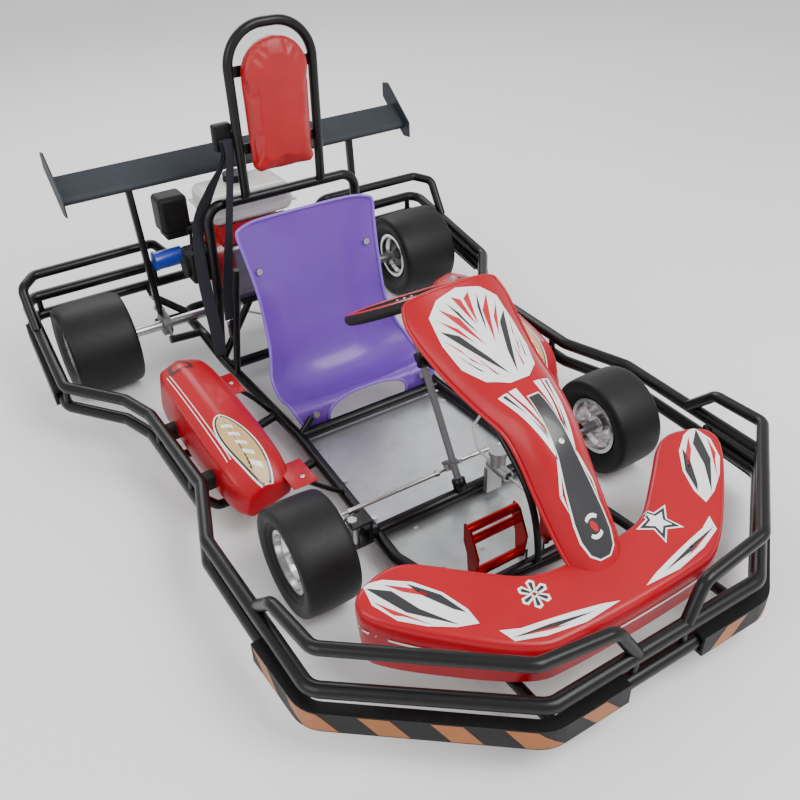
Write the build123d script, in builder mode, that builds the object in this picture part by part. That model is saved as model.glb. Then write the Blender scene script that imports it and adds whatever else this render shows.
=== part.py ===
from build123d import *
from math import atan2, cos, hypot, pi, radians, sin
import os

# Racing kart with a full perimeter bumper, in millimetres.
# +X is the driver's left, -Y is the front, +Z is up, the ground is Z = 0.
# The origin is below the centre of the whole kart.

# ---- driving dimensions -------------------------------------------------
wheelbase = 1122
front_axle_y = -344
rear_axle_y = front_axle_y + wheelbase
front_wheel_x = 434
rear_wheel_x = 557
front_tyre_radius = 130
front_tyre_width = 132
rear_tyre_radius = 140
rear_tyre_width = 194
front_axle_z = front_tyre_radius
rear_axle_z = rear_tyre_radius

rail_radius = 16
rail_wall = 2
upper_rail_z = 165
lower_rail_z = 105
upper_rail_rear_z = 252
lower_rail_rear_z = 192
rail_rise_start_y = 560
rail_front_y = -950
rail_rear_y = 962

frame_tube_radius = 15
frame_tube_wall = 2
frame_z = 62
tray_top_z = 46
tray_thickness = 2

axle_radius = 15
fit_clearance = 0.05
sprocket_x = 95
brake_disc_x = -130
crank_y = 720
crank_z = 340
chain_pitch = 12.7
axle_teeth = 36
clutch_teeth = 12

steering_lean = 29.8
wheel_centre_y = -72
wheel_centre_z = 487
column_foot_y = -306
column_foot_z = 75
steering_rim_radius = 136
steering_grip_radius = 14

kingpin_x = 322
kingpin_radius = 6

os.makedirs("parts", exist_ok=True)


def save(builder, label):
    builder.part.label = label
    export_step(builder.part, "parts/" + label + ".step")


def swept_tube(points, bend, radius, wall=0):
    """A round tube along straight runs joined by arcs."""
    with BuildPart() as tube:
        with BuildLine() as route:
            if len(points) > 2:
                FilletPolyline(*points, radius=bend)
            else:
                Polyline(*points)
        with BuildSketch(Plane(origin=route.line @ 0, z_dir=route.line % 0)):
            Circle(radius)
            if wall:
                Circle(radius - wall, mode=Mode.SUBTRACT)
        sweep(path=route.line)
    return tube.part


def mirrored(parts):
    """The parts and their mirror images across the kart's middle plane."""
    return [*parts, *[part.mirror(Plane.YZ) for part in parts]]


def box_between(low, high, rounding=0):
    """An upright block between two opposite corners."""
    size = [b - a for a, b in zip(low, high)]
    middle = [(a + b) / 2 for a, b in zip(low, high)]
    with BuildPart() as block:
        with Locations(tuple(middle)):
            Box(*size)
        if rounding:
            fillet(block.edges(), rounding)
    return block.part


def disc(centre, direction, radius, length, hole=0):
    """A round piece that starts at a centre and grows along a direction."""
    with BuildPart() as piece:
        with BuildSketch(Plane(origin=centre, z_dir=direction)):
            Circle(radius)
            if hole:
                Circle(hole, mode=Mode.SUBTRACT)
        extrude(amount=length)
    return piece.part


def hex_bolt(centre, direction, size, length):
    """A hexagon head above a plain shank."""
    with BuildPart() as bolt:
        with BuildSketch(Plane(origin=centre, z_dir=direction)):
            RegularPolygon(radius=size * 0.95, side_count=6)
        extrude(amount=size * 0.65)
        with BuildSketch(Plane(origin=centre, z_dir=direction)):
            Circle(size / 2)
        extrude(amount=-length)
    return bolt.part


# ---- perimeter bumper ---------------------------------------------------
rail_plan = [
    (268, rail_front_y),
    (606, -682),
    (614, -223),
    (553, -40),
    (557, 300),
    (590, 405),
    (708, rail_rise_start_y),
    (697, rail_rear_y),
]


def rail_points(level, rear_level, spread):
    """Half of a perimeter rail, from the front centre to the rear centre."""
    points = [(0, rail_front_y - spread, level)]
    for x, y in rail_plan:
        height = level
        if y > rail_rise_start_y:
            height = rear_level
        shift = 0 if y > rail_rise_start_y else spread
        forward = spread if y == rail_front_y else 0
        points.append((x + shift, y - forward, height))
    points.append((0, rail_rear_y, rear_level))
    return points


def perimeter_rail(level, rear_level, spread):
    half = swept_tube(rail_points(level, rear_level, spread), 45, rail_radius, rail_wall)
    with BuildPart() as rail:
        add(half)
        mirror(about=Plane.YZ)
    return rail


lower_rail_spread = 5
bumper_upper_rail = perimeter_rail(upper_rail_z, upper_rail_rear_z, 0)
save(bumper_upper_rail, "bumper_upper_rail")
bumper_lower_rail = perimeter_rail(lower_rail_z, lower_rail_rear_z, lower_rail_spread)
save(bumper_lower_rail, "bumper_lower_rail")

loop_radius = 14
front_loop_route = [
    (603, -455, upper_rail_z + 6),
    (599, -530, 245),
    (588, -676, 259),
    (286, -925, 262),
    (112, -937, 245),
    (66, rail_front_y, upper_rail_z + 6),
]
rear_loop_route = [
    (706, 806, 226),
    (706, 872, 330),
    (660, 916, 342),
    (300, 916, 345),
    (232, rail_rear_y - 4, upper_rail_rear_z + 6),
]
with BuildPart() as bumper_loops:
    add(mirrored([swept_tube(front_loop_route, 34, loop_radius, rail_wall)]))
    add(mirrored([swept_tube(rear_loop_route, 30, loop_radius, rail_wall)]))
save(bumper_loops, "bumper_loops")

# Posts stand between the two rails; arms tie the lower rail to the frame.
post_places = [(62, rail_front_y), (610, -520), (555, 20), (556, 240), (706, rail_rise_start_y)]
rear_post_places = [(300, rail_rear_y), (660, rail_rear_y)]
post_radius = 9
stay_parts = []
for x, y in post_places:
    low = (x + lower_rail_spread, y, lower_rail_z + 6)
    high = (x, y, upper_rail_z - 6)
    stay_parts.append(swept_tube([low, high], 0, post_radius))
for x, y in rear_post_places:
    stay_parts.append(
        swept_tube([(x, y, lower_rail_rear_z + 6), (x, y, upper_rail_rear_z - 6)], 0, post_radius)
    )
arm_radius = 12
arm_routes = [
    [(238, -470, 64), (250, -700, 78), (250, rail_front_y - 3, lower_rail_z - 9)],
    [(236, 10, 60), (300, 10, 44), (508, 10, 44), (558, 10, lower_rail_z - 4)],
    [(238, 250, 60), (300, 250, 44), (508, 250, 44), (562, 250, lower_rail_z - 4)],
    [(252, 852, 118), (330, 910, 170), (330, rail_rear_y, lower_rail_rear_z)],
]
for route in arm_routes:
    stay_parts.append(swept_tube(route, 24, arm_radius, rail_wall))
with BuildPart() as bumper_stays:
    add(mirrored(stay_parts))
save(bumper_stays, "bumper_stays")


def guard_strip(route, wall, half_height):
    """A channel that covers the outside of a lower rail."""
    inside = rail_radius + 1
    with BuildPart() as strip:
        with BuildLine() as path:
            FilletPolyline(*route, radius=60)
        start = path.line @ 0
        tangent = path.line % 0
        outward = Vector(tangent.Y, -tangent.X, 0)
        with BuildSketch(Plane(origin=start, x_dir=outward, z_dir=tangent)):
            with Locations(((inside + wall - 4) / 2, 0)):
                Rectangle(inside + wall + 4, 2 * half_height)
            with Locations(((inside - 4) / 2, 0)):
                Rectangle(inside + 4, 2 * (inside + 0.5), mode=Mode.SUBTRACT)
        sweep(path=path.line)
    return strip.part


guard_wall = 6
guard_half_height = 26
front_guard_route = [
    (96, rail_front_y - lower_rail_spread, lower_rail_z),
    (268 + lower_rail_spread, rail_front_y - lower_rail_spread, lower_rail_z),
    (606 + lower_rail_spread, -682, lower_rail_z),
    (615 + lower_rail_spread, -500, lower_rail_z),
]
rear_slope = (lower_rail_rear_z - lower_rail_z) / (rail_rear_y - rail_rise_start_y)
rear_guard_route = [
    (708 + lower_rail_spread - 0.9, 600, lower_rail_z + rear_slope * 40),
    (697 + 2, 905, lower_rail_z + rear_slope * 345),
]
with BuildPart() as rear_guard_half:
    start_point = Vector(*rear_guard_route[0])
    end_point = Vector(*rear_guard_route[1])
    along = (end_point - start_point).normalized()
    across = along.cross(Vector(0, 0, 1)).normalized()
    inside = rail_radius + 1.5
    with BuildSketch(Plane(origin=start_point, x_dir=across, z_dir=along)):
        with Locations(((inside + guard_wall - 4) / 2, 0)):
            Rectangle(inside + guard_wall + 4, 2 * guard_half_height)
        with Locations(((inside - 4) / 2, 0)):
            Rectangle(inside + 4, 2 * (inside + 0.5), mode=Mode.SUBTRACT)
    extrude(amount=(end_point - start_point).length)
with BuildPart() as bumper_guards:
    add(mirrored([guard_strip(front_guard_route, guard_wall, guard_half_height)]))
    add(mirrored([rear_guard_half.part]))
save(bumper_guards, "bumper_guards")

# ---- chassis ------------------------------------------------------------
main_rail = [
    (0, -585, frame_z),
    (196, -585, frame_z),
    (250, -403, frame_z),
    (224, 120, frame_z),
    (238, 600, frame_z),
    (252, 700, 104),
    (252, 892, 104),
    (0, 892, 104),
]
frame_members = mirrored([swept_tube(main_rail, 45, frame_tube_radius, frame_tube_wall)])
for y, half in [(-303, 244), (124, 224), (560, 236)]:
    frame_members.append(
        swept_tube([(-half, y, frame_z), (half, y, frame_z)], 0, frame_tube_radius, frame_tube_wall)
    )
# Axle beam ends, from the main rails up to the kingpin yokes.
frame_members += mirrored(
    [swept_tube([(242, -303, frame_z), (287, front_axle_y + 7, 110)], 0, frame_tube_radius)]
)
yoke_half_gap = 27
yoke_plate = 6
for side in (-1, 1):
    for low in (front_axle_z - yoke_half_gap - yoke_plate, front_axle_z + yoke_half_gap):
        with BuildPart() as ear:
            with BuildSketch(Plane.XY.offset(low)):
                with Locations((side * (kingpin_x - 15), front_axle_y)):
                    Rectangle(50, 40)
                with Locations((side * kingpin_x, front_axle_y)):
                    Circle(kingpin_radius + fit_clearance, mode=Mode.SUBTRACT)
            extrude(amount=yoke_plate)
        frame_members.append(ear.part)
    web_low = (side * 282, front_axle_y - 20, front_axle_z - yoke_half_gap - yoke_plate)
    web_high = (side * 290, front_axle_y + 20, front_axle_z + yoke_half_gap + yoke_plate)
    frame_members.append(
        box_between(
            (min(web_low[0], web_high[0]), web_low[1], web_low[2]),
            (max(web_low[0], web_high[0]), web_high[1], web_high[2]),
        )
    )
# Seat struts and engine posts.
frame_members += mirrored(
    [
        swept_tube([(224, 124, frame_z), (178, 132, 104)], 0, 9),
        swept_tube([(238, 500, frame_z + 8), (214, 452, 420)], 0, 10),
        swept_tube([(250, 728, 104), (354, 728, 110)], 0, 12),
        swept_tube([(250, 860, 104), (354, 858, 110)], 0, 12),
    ]
)
# Engine posts, the plate they carry, and the anchor of the belt's free end.
plate_low = (-150, 606, 224)
plate_high = (74, 822, 232)
for foot, top in [
    ((-238, 600, frame_z + 6), (-120, 622, 226)),
    ((238, 600, frame_z + 6), (58, 622, 226)),
    ((-60, 892, 110), (-60, 812, 227)),
    ((40, 892, 110), (40, 812, 227)),
]:
    frame_members.append(swept_tube([foot, top], 0, 11))
frame_members.append(box_between(plate_low, plate_high))
frame_members.append(swept_tube([(-236, 500, frame_z + 4), (-276, 500, 142)], 0, 6))
pedal_pivot_y = -554
pedal_pivot_z = 80
with BuildPart() as chassis_frame:
    add(frame_members)
save(chassis_frame, "chassis_frame")

tray_outline = [
    (226, 112),
    (252, -403),
    (200, -580),
    (-200, -580),
    (-252, -403),
    (-226, 112),
]
with BuildPart() as floor_tray:
    with BuildSketch(Plane.XY.offset(tray_top_z - tray_thickness)):
        with BuildLine():
            Polyline(*tray_outline, close=True)
        make_face()
    extrude(amount=tray_thickness)
save(floor_tray, "floor_tray")

tray_bolt_places = [(200, 60), (206, -90), (215, -250), (150, -332), (60, -470), (170, -470), (60, -530)]
tray_bolt_parts = []
for x, y in tray_bolt_places:
    tray_bolt_parts.append(hex_bolt((x, y, tray_top_z), (0, 0, 1), 8, tray_thickness))
with BuildPart() as tray_bolts:
    add(mirrored(tray_bolt_parts))
save(tray_bolts, "tray_bolts")

# ---- wheels -------------------------------------------------------------
bead_radius = 70


def wheel_plane(x, y, z, side):
    """Local x points out along the axle and local y is the radius."""
    return Plane(origin=(x, y, z), x_dir=(side, 0, 0), z_dir=(0, -side, 0))


def make_tyre(x, y, z, side, radius, width, bead_half):
    half = width / 2
    wall = 9
    with BuildPart() as tyre:
        with BuildSketch(wheel_plane(x, y, z, side)):
            with BuildLine():
                Line((-bead_half, bead_radius), (-bead_half, bead_radius + 5))
                ThreePointArc(
                    (-bead_half, bead_radius + 5),
                    (-half, (bead_radius + radius) / 2),
                    (-half + 9, radius - 8),
                )
                ThreePointArc((-half + 9, radius - 8), (-half + 13, radius - 4), (-half + 19, radius - 2.2))
                ThreePointArc((-half + 19, radius - 2.2), (0, radius), (half - 19, radius - 2.2))
                ThreePointArc((half - 19, radius - 2.2), (half - 13, radius - 4), (half - 9, radius - 8))
                ThreePointArc(
                    (half - 9, radius - 8),
                    (half, (bead_radius + radius) / 2),
                    (bead_half, bead_radius + 5),
                )
                Line((bead_half, bead_radius + 5), (bead_half, bead_radius))
                Line((bead_half, bead_radius), (-bead_half, bead_radius))
            make_face()
            with Locations((0, (bead_radius + radius) / 2 + 1)):
                RectangleRounded(width - 3 * wall, radius - bead_radius - 2 * wall + 4, 12, mode=Mode.SUBTRACT)
            with Locations((0, bead_radius + 5)):
                Rectangle(2 * bead_half - 2 * wall, 26, mode=Mode.SUBTRACT)
        revolve(axis=Axis((x, y, z), (1, 0, 0)))
    return tyre.part


def make_rim(x, y, z, side, bead_half, bore, web_offset, bolt_count):
    """A two-piece rim: barrel, flanges, web, hub and holes in the web."""
    flange = bead_half + 4
    seat = bead_radius - 0.5
    with BuildPart() as rim:
        with BuildSketch(wheel_plane(x, y, z, side)):
            with BuildLine():
                Polyline(
                    (-flange, bead_radius + 5),
                    (-bead_half - 0.5, bead_radius + 5),
                    (-bead_half - 0.5, seat),
                    (-bead_half + 14, seat - 1),
                    (-bead_half + 20, seat - 8),
                    (bead_half - 20, seat - 8),
                    (bead_half - 14, seat - 1),
                    (bead_half + 0.5, seat),
                    (bead_half + 0.5, bead_radius + 5),
                    (flange, bead_radius + 5),
                    (flange, seat - 4),
                    (bead_half - 12, seat - 5),
                    (bead_half - 22, seat - 12),
                    (web_offset + 4, seat - 12),
                    (web_offset + 4, 30),
                    (web_offset + 16, 27),
                    (web_offset + 16, bore),
                    (web_offset - 44, bore),
                    (web_offset - 44, 22),
                    (web_offset - 4, 26),
                    (web_offset - 4, seat - 12),
                    (-bead_half + 22, seat - 12),
                    (-bead_half + 12, seat - 5),
                    (-flange, seat - 4),
                    close=True,
                )
            make_face()
        revolve(axis=Axis((x, y, z), (1, 0, 0)))
        hole_plane = Plane(origin=(x, y, z), z_dir=(side, 0, 0))
        with BuildSketch(hole_plane.offset(web_offset - 6)):
            with PolarLocations(42, bolt_count):
                Circle(7.5)
        extrude(amount=12, mode=Mode.SUBTRACT)
    return rim.part


spindle_axle_radius = 8.5
sides = {"left": 1, "right": -1}
front_bead_half = 46
rear_bead_half = 76
front_web = 8
rear_web = 36
for name, side in sides.items():
    hub_bore = spindle_axle_radius + fit_clearance
    centre = (side * front_wheel_x, front_axle_y, front_axle_z)
    front_rim = make_rim(*centre, side, front_bead_half, hub_bore, front_web, 6)
    front_tyre = make_tyre(*centre, side, front_tyre_radius, front_tyre_width, front_bead_half)
    with BuildPart() as front_rim_part:
        add(front_rim)
    save(front_rim_part, "front_rim_" + name)
    with BuildPart() as front_tyre_part:
        add(front_tyre)
    save(front_tyre_part, "front_tyre_" + name)

rear_rim_halves = []
rear_tyre_halves = []
for side in sides.values():
    centre = (side * rear_wheel_x, rear_axle_y, rear_axle_z)
    rear_rim_halves.append(make_rim(*centre, side, rear_bead_half, axle_radius + 0.02, rear_web, 6))
    rear_tyre_halves.append(
        make_tyre(*centre, side, rear_tyre_radius, rear_tyre_width, rear_bead_half)
    )
with BuildPart() as rear_rims:
    add(rear_rim_halves)
save(rear_rims, "rear_rims")
with BuildPart() as rear_tyres:
    add(rear_tyre_halves)
save(rear_tyres, "rear_tyres")

# ---- rear axle ----------------------------------------------------------
axle_half_length = rear_wheel_x + rear_web + 30
with BuildPart() as rear_axle:
    with BuildSketch(Plane(origin=(-axle_half_length, rear_axle_y, rear_axle_z), z_dir=(1, 0, 0))):
        Circle(axle_radius)
        Circle(axle_radius - 4, mode=Mode.SUBTRACT)
    extrude(amount=2 * axle_half_length)
save(rear_axle, "rear_axle")


def sprocket_solid(teeth, thickness, x, y, z, bore, hub_radius, hub_length):
    """A chain wheel with round tooth gaps and a plain hub towards -X."""
    pitch_radius = chain_pitch / (2 * sin(pi / teeth))
    with BuildPart() as sprocket:
        with BuildSketch(Plane(origin=(x - thickness / 2, y, z), z_dir=(1, 0, 0))):
            Circle(pitch_radius + 3.2)
            with PolarLocations(pitch_radius, teeth):
                Circle(4, mode=Mode.SUBTRACT)
        extrude(amount=thickness)
        with BuildSketch(Plane(origin=(x + thickness / 2, y, z), z_dir=(-1, 0, 0))):
            Circle(hub_radius)
        extrude(amount=hub_length)
        with BuildSketch(Plane(origin=(x + thickness, y, z), z_dir=(-1, 0, 0))):
            Circle(bore)
        extrude(amount=hub_length + 2 * thickness, mode=Mode.SUBTRACT)
    return sprocket


axle_sprocket = sprocket_solid(
    axle_teeth, 5, sprocket_x, rear_axle_y, rear_axle_z, axle_radius + 0.02, 34, 34
)
with BuildPart() as axle_sprocket_cut:
    add(axle_sprocket.part)
    with BuildSketch(Plane(origin=(sprocket_x - 6, rear_axle_y, rear_axle_z), z_dir=(1, 0, 0))):
        with PolarLocations(52, 6):
            Circle(9)
    extrude(amount=12, mode=Mode.SUBTRACT)
save(axle_sprocket_cut, "axle_sprocket")

disc_radius = 80
disc_thickness = 4
with BuildPart() as brake_disc:
    with BuildSketch(Plane(origin=(brake_disc_x - disc_thickness / 2, rear_axle_y, rear_axle_z), z_dir=(1, 0, 0))):
        Circle(disc_radius)
        Circle(axle_radius + 0.02, mode=Mode.SUBTRACT)
        with PolarLocations(66, 16):
            Circle(4, mode=Mode.SUBTRACT)
        with PolarLocations(40, 6):
            Circle(10, mode=Mode.SUBTRACT)
    extrude(amount=disc_thickness)
    with BuildSketch(Plane(origin=(brake_disc_x + disc_thickness / 2, rear_axle_y, rear_axle_z), z_dir=(1, 0, 0))):
        Circle(27)
        Circle(axle_radius + 0.02, mode=Mode.SUBTRACT)
    extrude(amount=24)
save(brake_disc, "brake_disc")

with BuildPart() as brake_caliper:
    add(box_between((brake_disc_x - 24, 812, 160), (brake_disc_x + 24, 868, 221), 6))
    add(box_between((brake_disc_x - 3.2, 800, 150), (brake_disc_x + 3.2, 859, 215)), mode=Mode.SUBTRACT)
    add(box_between((brake_disc_x - 24, 862, 100), (brake_disc_x - 8, 884, 176)))
save(brake_caliper, "brake_caliper")

carrier_x = 345
carrier_parts = []
for side in sides.values():
    with BuildPart() as carrier:
        with BuildSketch(Plane(origin=(side * carrier_x - 12, rear_axle_y, rear_axle_z), z_dir=(1, 0, 0))):
            Circle(34)
        extrude(amount=24)
        with BuildSketch(Plane(origin=(side * carrier_x - 4, 0, 0), x_dir=(0, 1, 0), z_dir=(1, 0, 0))):
            with BuildLine():
                Polyline((730, 120), (752, 160), (770, 196), (806, 196), (856, 120), close=True)
            make_face()
        extrude(amount=8)
        with BuildSketch(Plane(origin=(side * carrier_x - 20, rear_axle_y, rear_axle_z), z_dir=(1, 0, 0))):
            Circle(axle_radius + fit_clearance)
        extrude(amount=40, mode=Mode.SUBTRACT)
    carrier_parts.append(carrier.part)
with BuildPart() as axle_bearings:
    add(carrier_parts)
save(axle_bearings, "axle_bearings")

# ---- front spindles -----------------------------------------------------
spindle_half_height = yoke_half_gap - 1
steering_arm_back = 81
for name, side in sides.items():
    with BuildPart() as spindle:
        with BuildSketch(Plane.XY.offset(front_axle_z - spindle_half_height)):
            with Locations((side * kingpin_x, front_axle_y)):
                Circle(14)
        extrude(amount=2 * spindle_half_height)
        with BuildSketch(Plane(origin=(side * kingpin_x, front_axle_y, front_axle_z), z_dir=(side, 0, 0))):
            Circle(spindle_axle_radius)
        extrude(amount=front_wheel_x - kingpin_x + front_web + 34)
        with BuildSketch(Plane(origin=(side * (kingpin_x + 12), front_axle_y, front_axle_z), z_dir=(side, 0, 0))):
            Circle(13)
        extrude(amount=front_wheel_x - kingpin_x + front_web - 44 - 12 - 1)
        with BuildSketch(Plane.XY.offset(front_axle_z - 8)):
            with Locations((side * kingpin_x, front_axle_y + steering_arm_back / 2 + 6)):
                Rectangle(18, steering_arm_back - 12)
            with Locations((side * kingpin_x, front_axle_y + steering_arm_back)):
                Circle(11)
        extrude(amount=6)
        with BuildSketch(Plane.XY.offset(0)):
            with Locations((side * kingpin_x, front_axle_y)):
                Circle(kingpin_radius + fit_clearance)
        extrude(amount=300, mode=Mode.SUBTRACT)
        end_x = side * (front_wheel_x + front_web + 16 + 1)
        add(hex_bolt((end_x, front_axle_y, front_axle_z), (side, 0, 0), 17, 4))
    save(spindle, "spindle_" + name)

kingpin_parts = []
kingpin_top = front_axle_z + yoke_half_gap + yoke_plate
kingpin_length = 2 * (yoke_half_gap + yoke_plate) + 12
for side in sides.values():
    kingpin_parts.append(
        hex_bolt((side * kingpin_x, front_axle_y, kingpin_top), (0, 0, 1), 2 * kingpin_radius, kingpin_length)
    )
with BuildPart() as kingpins:
    add(kingpin_parts)
save(kingpins, "kingpins")

# ---- steering -----------------------------------------------------------
lean = radians(steering_lean)
column_direction = Vector(0, sin(lean), cos(lean))
column_rearward = Vector(0, cos(lean), -sin(lean))
column_foot = Vector(0, column_foot_y, column_foot_z)
wheel_centre = Vector(0, wheel_centre_y, wheel_centre_z)
column_length = (wheel_centre - column_foot).length
pitman_height = 66
pitman_reach = 34
pitman_origin = column_foot + column_direction * pitman_height
column_tube_radius = 9


def column_plane(distance):
    origin = column_foot + column_direction * distance
    return Plane(origin=origin, x_dir=(1, 0, 0), z_dir=column_direction)


with BuildPart() as steering_column:
    with BuildSketch(column_plane(14)):
        Circle(column_tube_radius)
    extrude(amount=column_length - 24)
    with BuildSketch(column_plane(pitman_height)):
        Circle(14)
        with Locations((0, pitman_reach / 2)):
            Rectangle(20, pitman_reach)
        with Locations((0, pitman_reach)):
            Circle(12)
    extrude(amount=5)
save(steering_column, "steering_column")

with BuildPart() as foot_cup:
    with BuildSketch(column_plane(-4)):
        Circle(17)
    extrude(amount=34)
    with BuildSketch(column_plane(13.2)):
        Circle(column_tube_radius + fit_clearance)
    extrude(amount=30, mode=Mode.SUBTRACT)
    split(bisect_by=Plane.XY.offset(70), keep=Keep.TOP)
support_distance = 330
with BuildPart() as upper_collar:
    with BuildSketch(column_plane(support_distance)):
        Circle(15)
        Circle(column_tube_radius + fit_clearance, mode=Mode.SUBTRACT)
    extrude(amount=22)

collar_mid = column_foot + column_direction * (support_distance + 11)
support_struts = mirrored(
    [
        swept_tube([(246, -310, frame_z + 12), (12, collar_mid.Y - 10, collar_mid.Z - 2)], 0, 8),
    ]
)
with BuildPart() as column_support:
    add(upper_collar.part)
    add(support_struts)
    with BuildSketch(column_plane(support_distance - 5)):
        Circle(column_tube_radius + fit_clearance)
    extrude(amount=40, mode=Mode.SUBTRACT)
    add(foot_cup.part)
save(column_support, "column_support")

with BuildPart() as steering_wheel:
    with BuildLine(Plane(origin=wheel_centre, x_dir=(1, 0, 0), z_dir=column_direction)) as rim_route:
        CenterArc((0, 0), steering_rim_radius, 0, 360)
    with BuildSketch(Plane(origin=rim_route.line @ 0, z_dir=rim_route.line % 0)):
        Circle(steering_grip_radius)
    sweep(path=rim_route.line)
    with BuildSketch(column_plane(column_length - 9)):
        Circle(34)
        with PolarLocations(steering_rim_radius / 2, 3, start_angle=90):
            Rectangle(steering_rim_radius, 26)
    extrude(amount=5)
    with BuildSketch(column_plane(column_length - 4)):
        Circle(30)
    extrude(amount=12)
save(steering_wheel, "steering_wheel")

# Tie rods: the outer eye sits under the spindle's arm, the inner eye under the pitman arm.
rod_radius = 6
rod_shank_radius = 3.5
eye_radius = 10
eye_height = 8
pitman_tip = pitman_origin + column_rearward * pitman_reach
for index, (name, side) in enumerate(sides.items()):
    drop = 1 + eye_height / 2 + index * (eye_height + 1)
    inner = pitman_tip - column_direction * drop
    outer = Vector(side * kingpin_x, front_axle_y + steering_arm_back, front_axle_z - 9 - eye_height / 2)
    direction = (outer - inner).normalized()
    with BuildPart() as tie_rod:
        with BuildSketch(Plane(origin=inner + direction * 8, z_dir=direction)):
            Circle(rod_shank_radius)
        extrude(amount=(outer - inner).length - 16)
        with BuildSketch(Plane(origin=inner + direction * 38, z_dir=direction)):
            Circle(rod_radius)
        extrude(amount=(outer - inner).length - 76)
        with BuildSketch(Plane(origin=inner - column_direction * eye_height / 2, x_dir=(1, 0, 0), z_dir=column_direction)):
            Circle(eye_radius)
        extrude(amount=eye_height)
        with BuildSketch(Plane(origin=outer - Vector(0, 0, eye_height / 2))):
            Circle(eye_radius)
        extrude(amount=eye_height)
        with BuildSketch(Plane(origin=outer - direction * 40, z_dir=direction)):
            RegularPolygon(radius=8.5, side_count=6)
        extrude(amount=10)
        with BuildSketch(Plane(origin=inner + direction * 30, z_dir=direction)):
            RegularPolygon(radius=8.5, side_count=6)
        extrude(amount=10)
    save(tie_rod, "tie_rod_" + name)

# ---- pedals and brake hydraulics ----------------------------------------
pedal_shaft_radius = 6
pedal_rung_radius = 10
pedal_top = (-533, 196)
pedal_middle = (-541, 168)
brake_rod_z = 140
brake_rod_x = 75


def make_pedal(low_x, high_x, lever_x=None):
    """Two side arms joined by round rungs, turning on a bored bottom tube."""
    with BuildPart() as pedal:
        for x in (low_x, high_x - 5):
            with BuildSketch(Plane(origin=(x, 0, 0), x_dir=(0, 1, 0), z_dir=(1, 0, 0))):
                with BuildLine():
                    Polyline(
                        (pedal_pivot_y - 13, pedal_pivot_z - 6),
                        (pedal_pivot_y - 22, pedal_pivot_z + 60),
                        (pedal_top[0] - 12, pedal_top[1] + 6),
                        (pedal_top[0] + 10, pedal_top[1] + 10),
                        (pedal_middle[0] + 18, pedal_middle[1] - 10),
                        (pedal_pivot_y + 18, pedal_pivot_z + 50),
                        (pedal_pivot_y + 13, pedal_pivot_z - 6),
                        close=True,
                    )
                make_face()
                with Locations((pedal_pivot_y, pedal_pivot_z)):
                    Circle(13)
            extrude(amount=5)
        for y, z, radius in (
            (*pedal_top, pedal_rung_radius),
            (*pedal_middle, pedal_rung_radius),
            (pedal_pivot_y, pedal_pivot_z, pedal_rung_radius + 1),
        ):
            with BuildSketch(Plane(origin=(low_x, y, z), z_dir=(1, 0, 0))):
                Circle(radius)
            extrude(amount=high_x - low_x)
        if lever_x is not None:
            with BuildSketch(Plane(origin=(lever_x - 4, 0, 0), x_dir=(0, 1, 0), z_dir=(1, 0, 0))):
                with BuildLine():
                    Polyline(
                        (pedal_pivot_y - 8, pedal_pivot_z),
                        (pedal_pivot_y - 8, brake_rod_z + 8),
                        (pedal_pivot_y + 8, brake_rod_z + 8),
                        (pedal_pivot_y + 8, pedal_pivot_z),
                        close=True,
                    )
                make_face()
            extrude(amount=8)
            with BuildSketch(Plane(origin=(lever_x - 4, pedal_pivot_y, brake_rod_z), z_dir=(1, 0, 0))):
                Circle(3)
            extrude(amount=20)
        with BuildSketch(Plane(origin=(low_x - 10, pedal_pivot_y, pedal_pivot_z), z_dir=(1, 0, 0))):
            Circle(pedal_shaft_radius + fit_clearance)
        extrude(amount=high_x - low_x + 20, mode=Mode.SUBTRACT)
    return pedal


throttle_pedal = make_pedal(-150, -14)
save(throttle_pedal, "throttle_pedal")
brake_pedal = make_pedal(52, 176, brake_rod_x)
save(brake_pedal, "brake_pedal")

shaft_parts = []
for low_x, high_x in ((-162, -3), (40, 188)):
    shaft_parts.append(
        disc((low_x, pedal_pivot_y, pedal_pivot_z), (1, 0, 0), pedal_shaft_radius, high_x - low_x)
    )
    for x in (low_x, high_x - 6):
        shaft_parts.append(box_between((x, pedal_pivot_y - 12, tray_top_z), (x + 6, pedal_pivot_y + 12, pedal_pivot_z + 10)))
with BuildPart() as pedal_shafts:
    add(shaft_parts)
save(pedal_shafts, "pedal_shafts")

cylinder_rear_y = -322
cylinder_front_y = -392
with BuildPart() as master_cylinder:
    with BuildSketch(Plane(origin=(brake_rod_x, cylinder_rear_y, brake_rod_z), z_dir=(0, -1, 0))):
        Circle(15)
    extrude(amount=cylinder_rear_y - cylinder_front_y)
    with BuildSketch(Plane(origin=(brake_rod_x, cylinder_front_y, brake_rod_z), z_dir=(0, 1, 0))):
        Circle(10)
    extrude(amount=54, mode=Mode.SUBTRACT)
    with BuildSketch(Plane.XY.offset(brake_rod_z + 11)):
        with Locations((brake_rod_x, -350)):
            Circle(19)
    extrude(amount=30)
    with BuildSketch(Plane.XY.offset(brake_rod_z + 41)):
        with Locations((brake_rod_x, -350)):
            Circle(23)
    extrude(amount=12)
    add(box_between((brake_rod_x - 22, -340, frame_z), (brake_rod_x + 22, -326, brake_rod_z - 4)))
save(master_cylinder, "master_cylinder")

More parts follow.
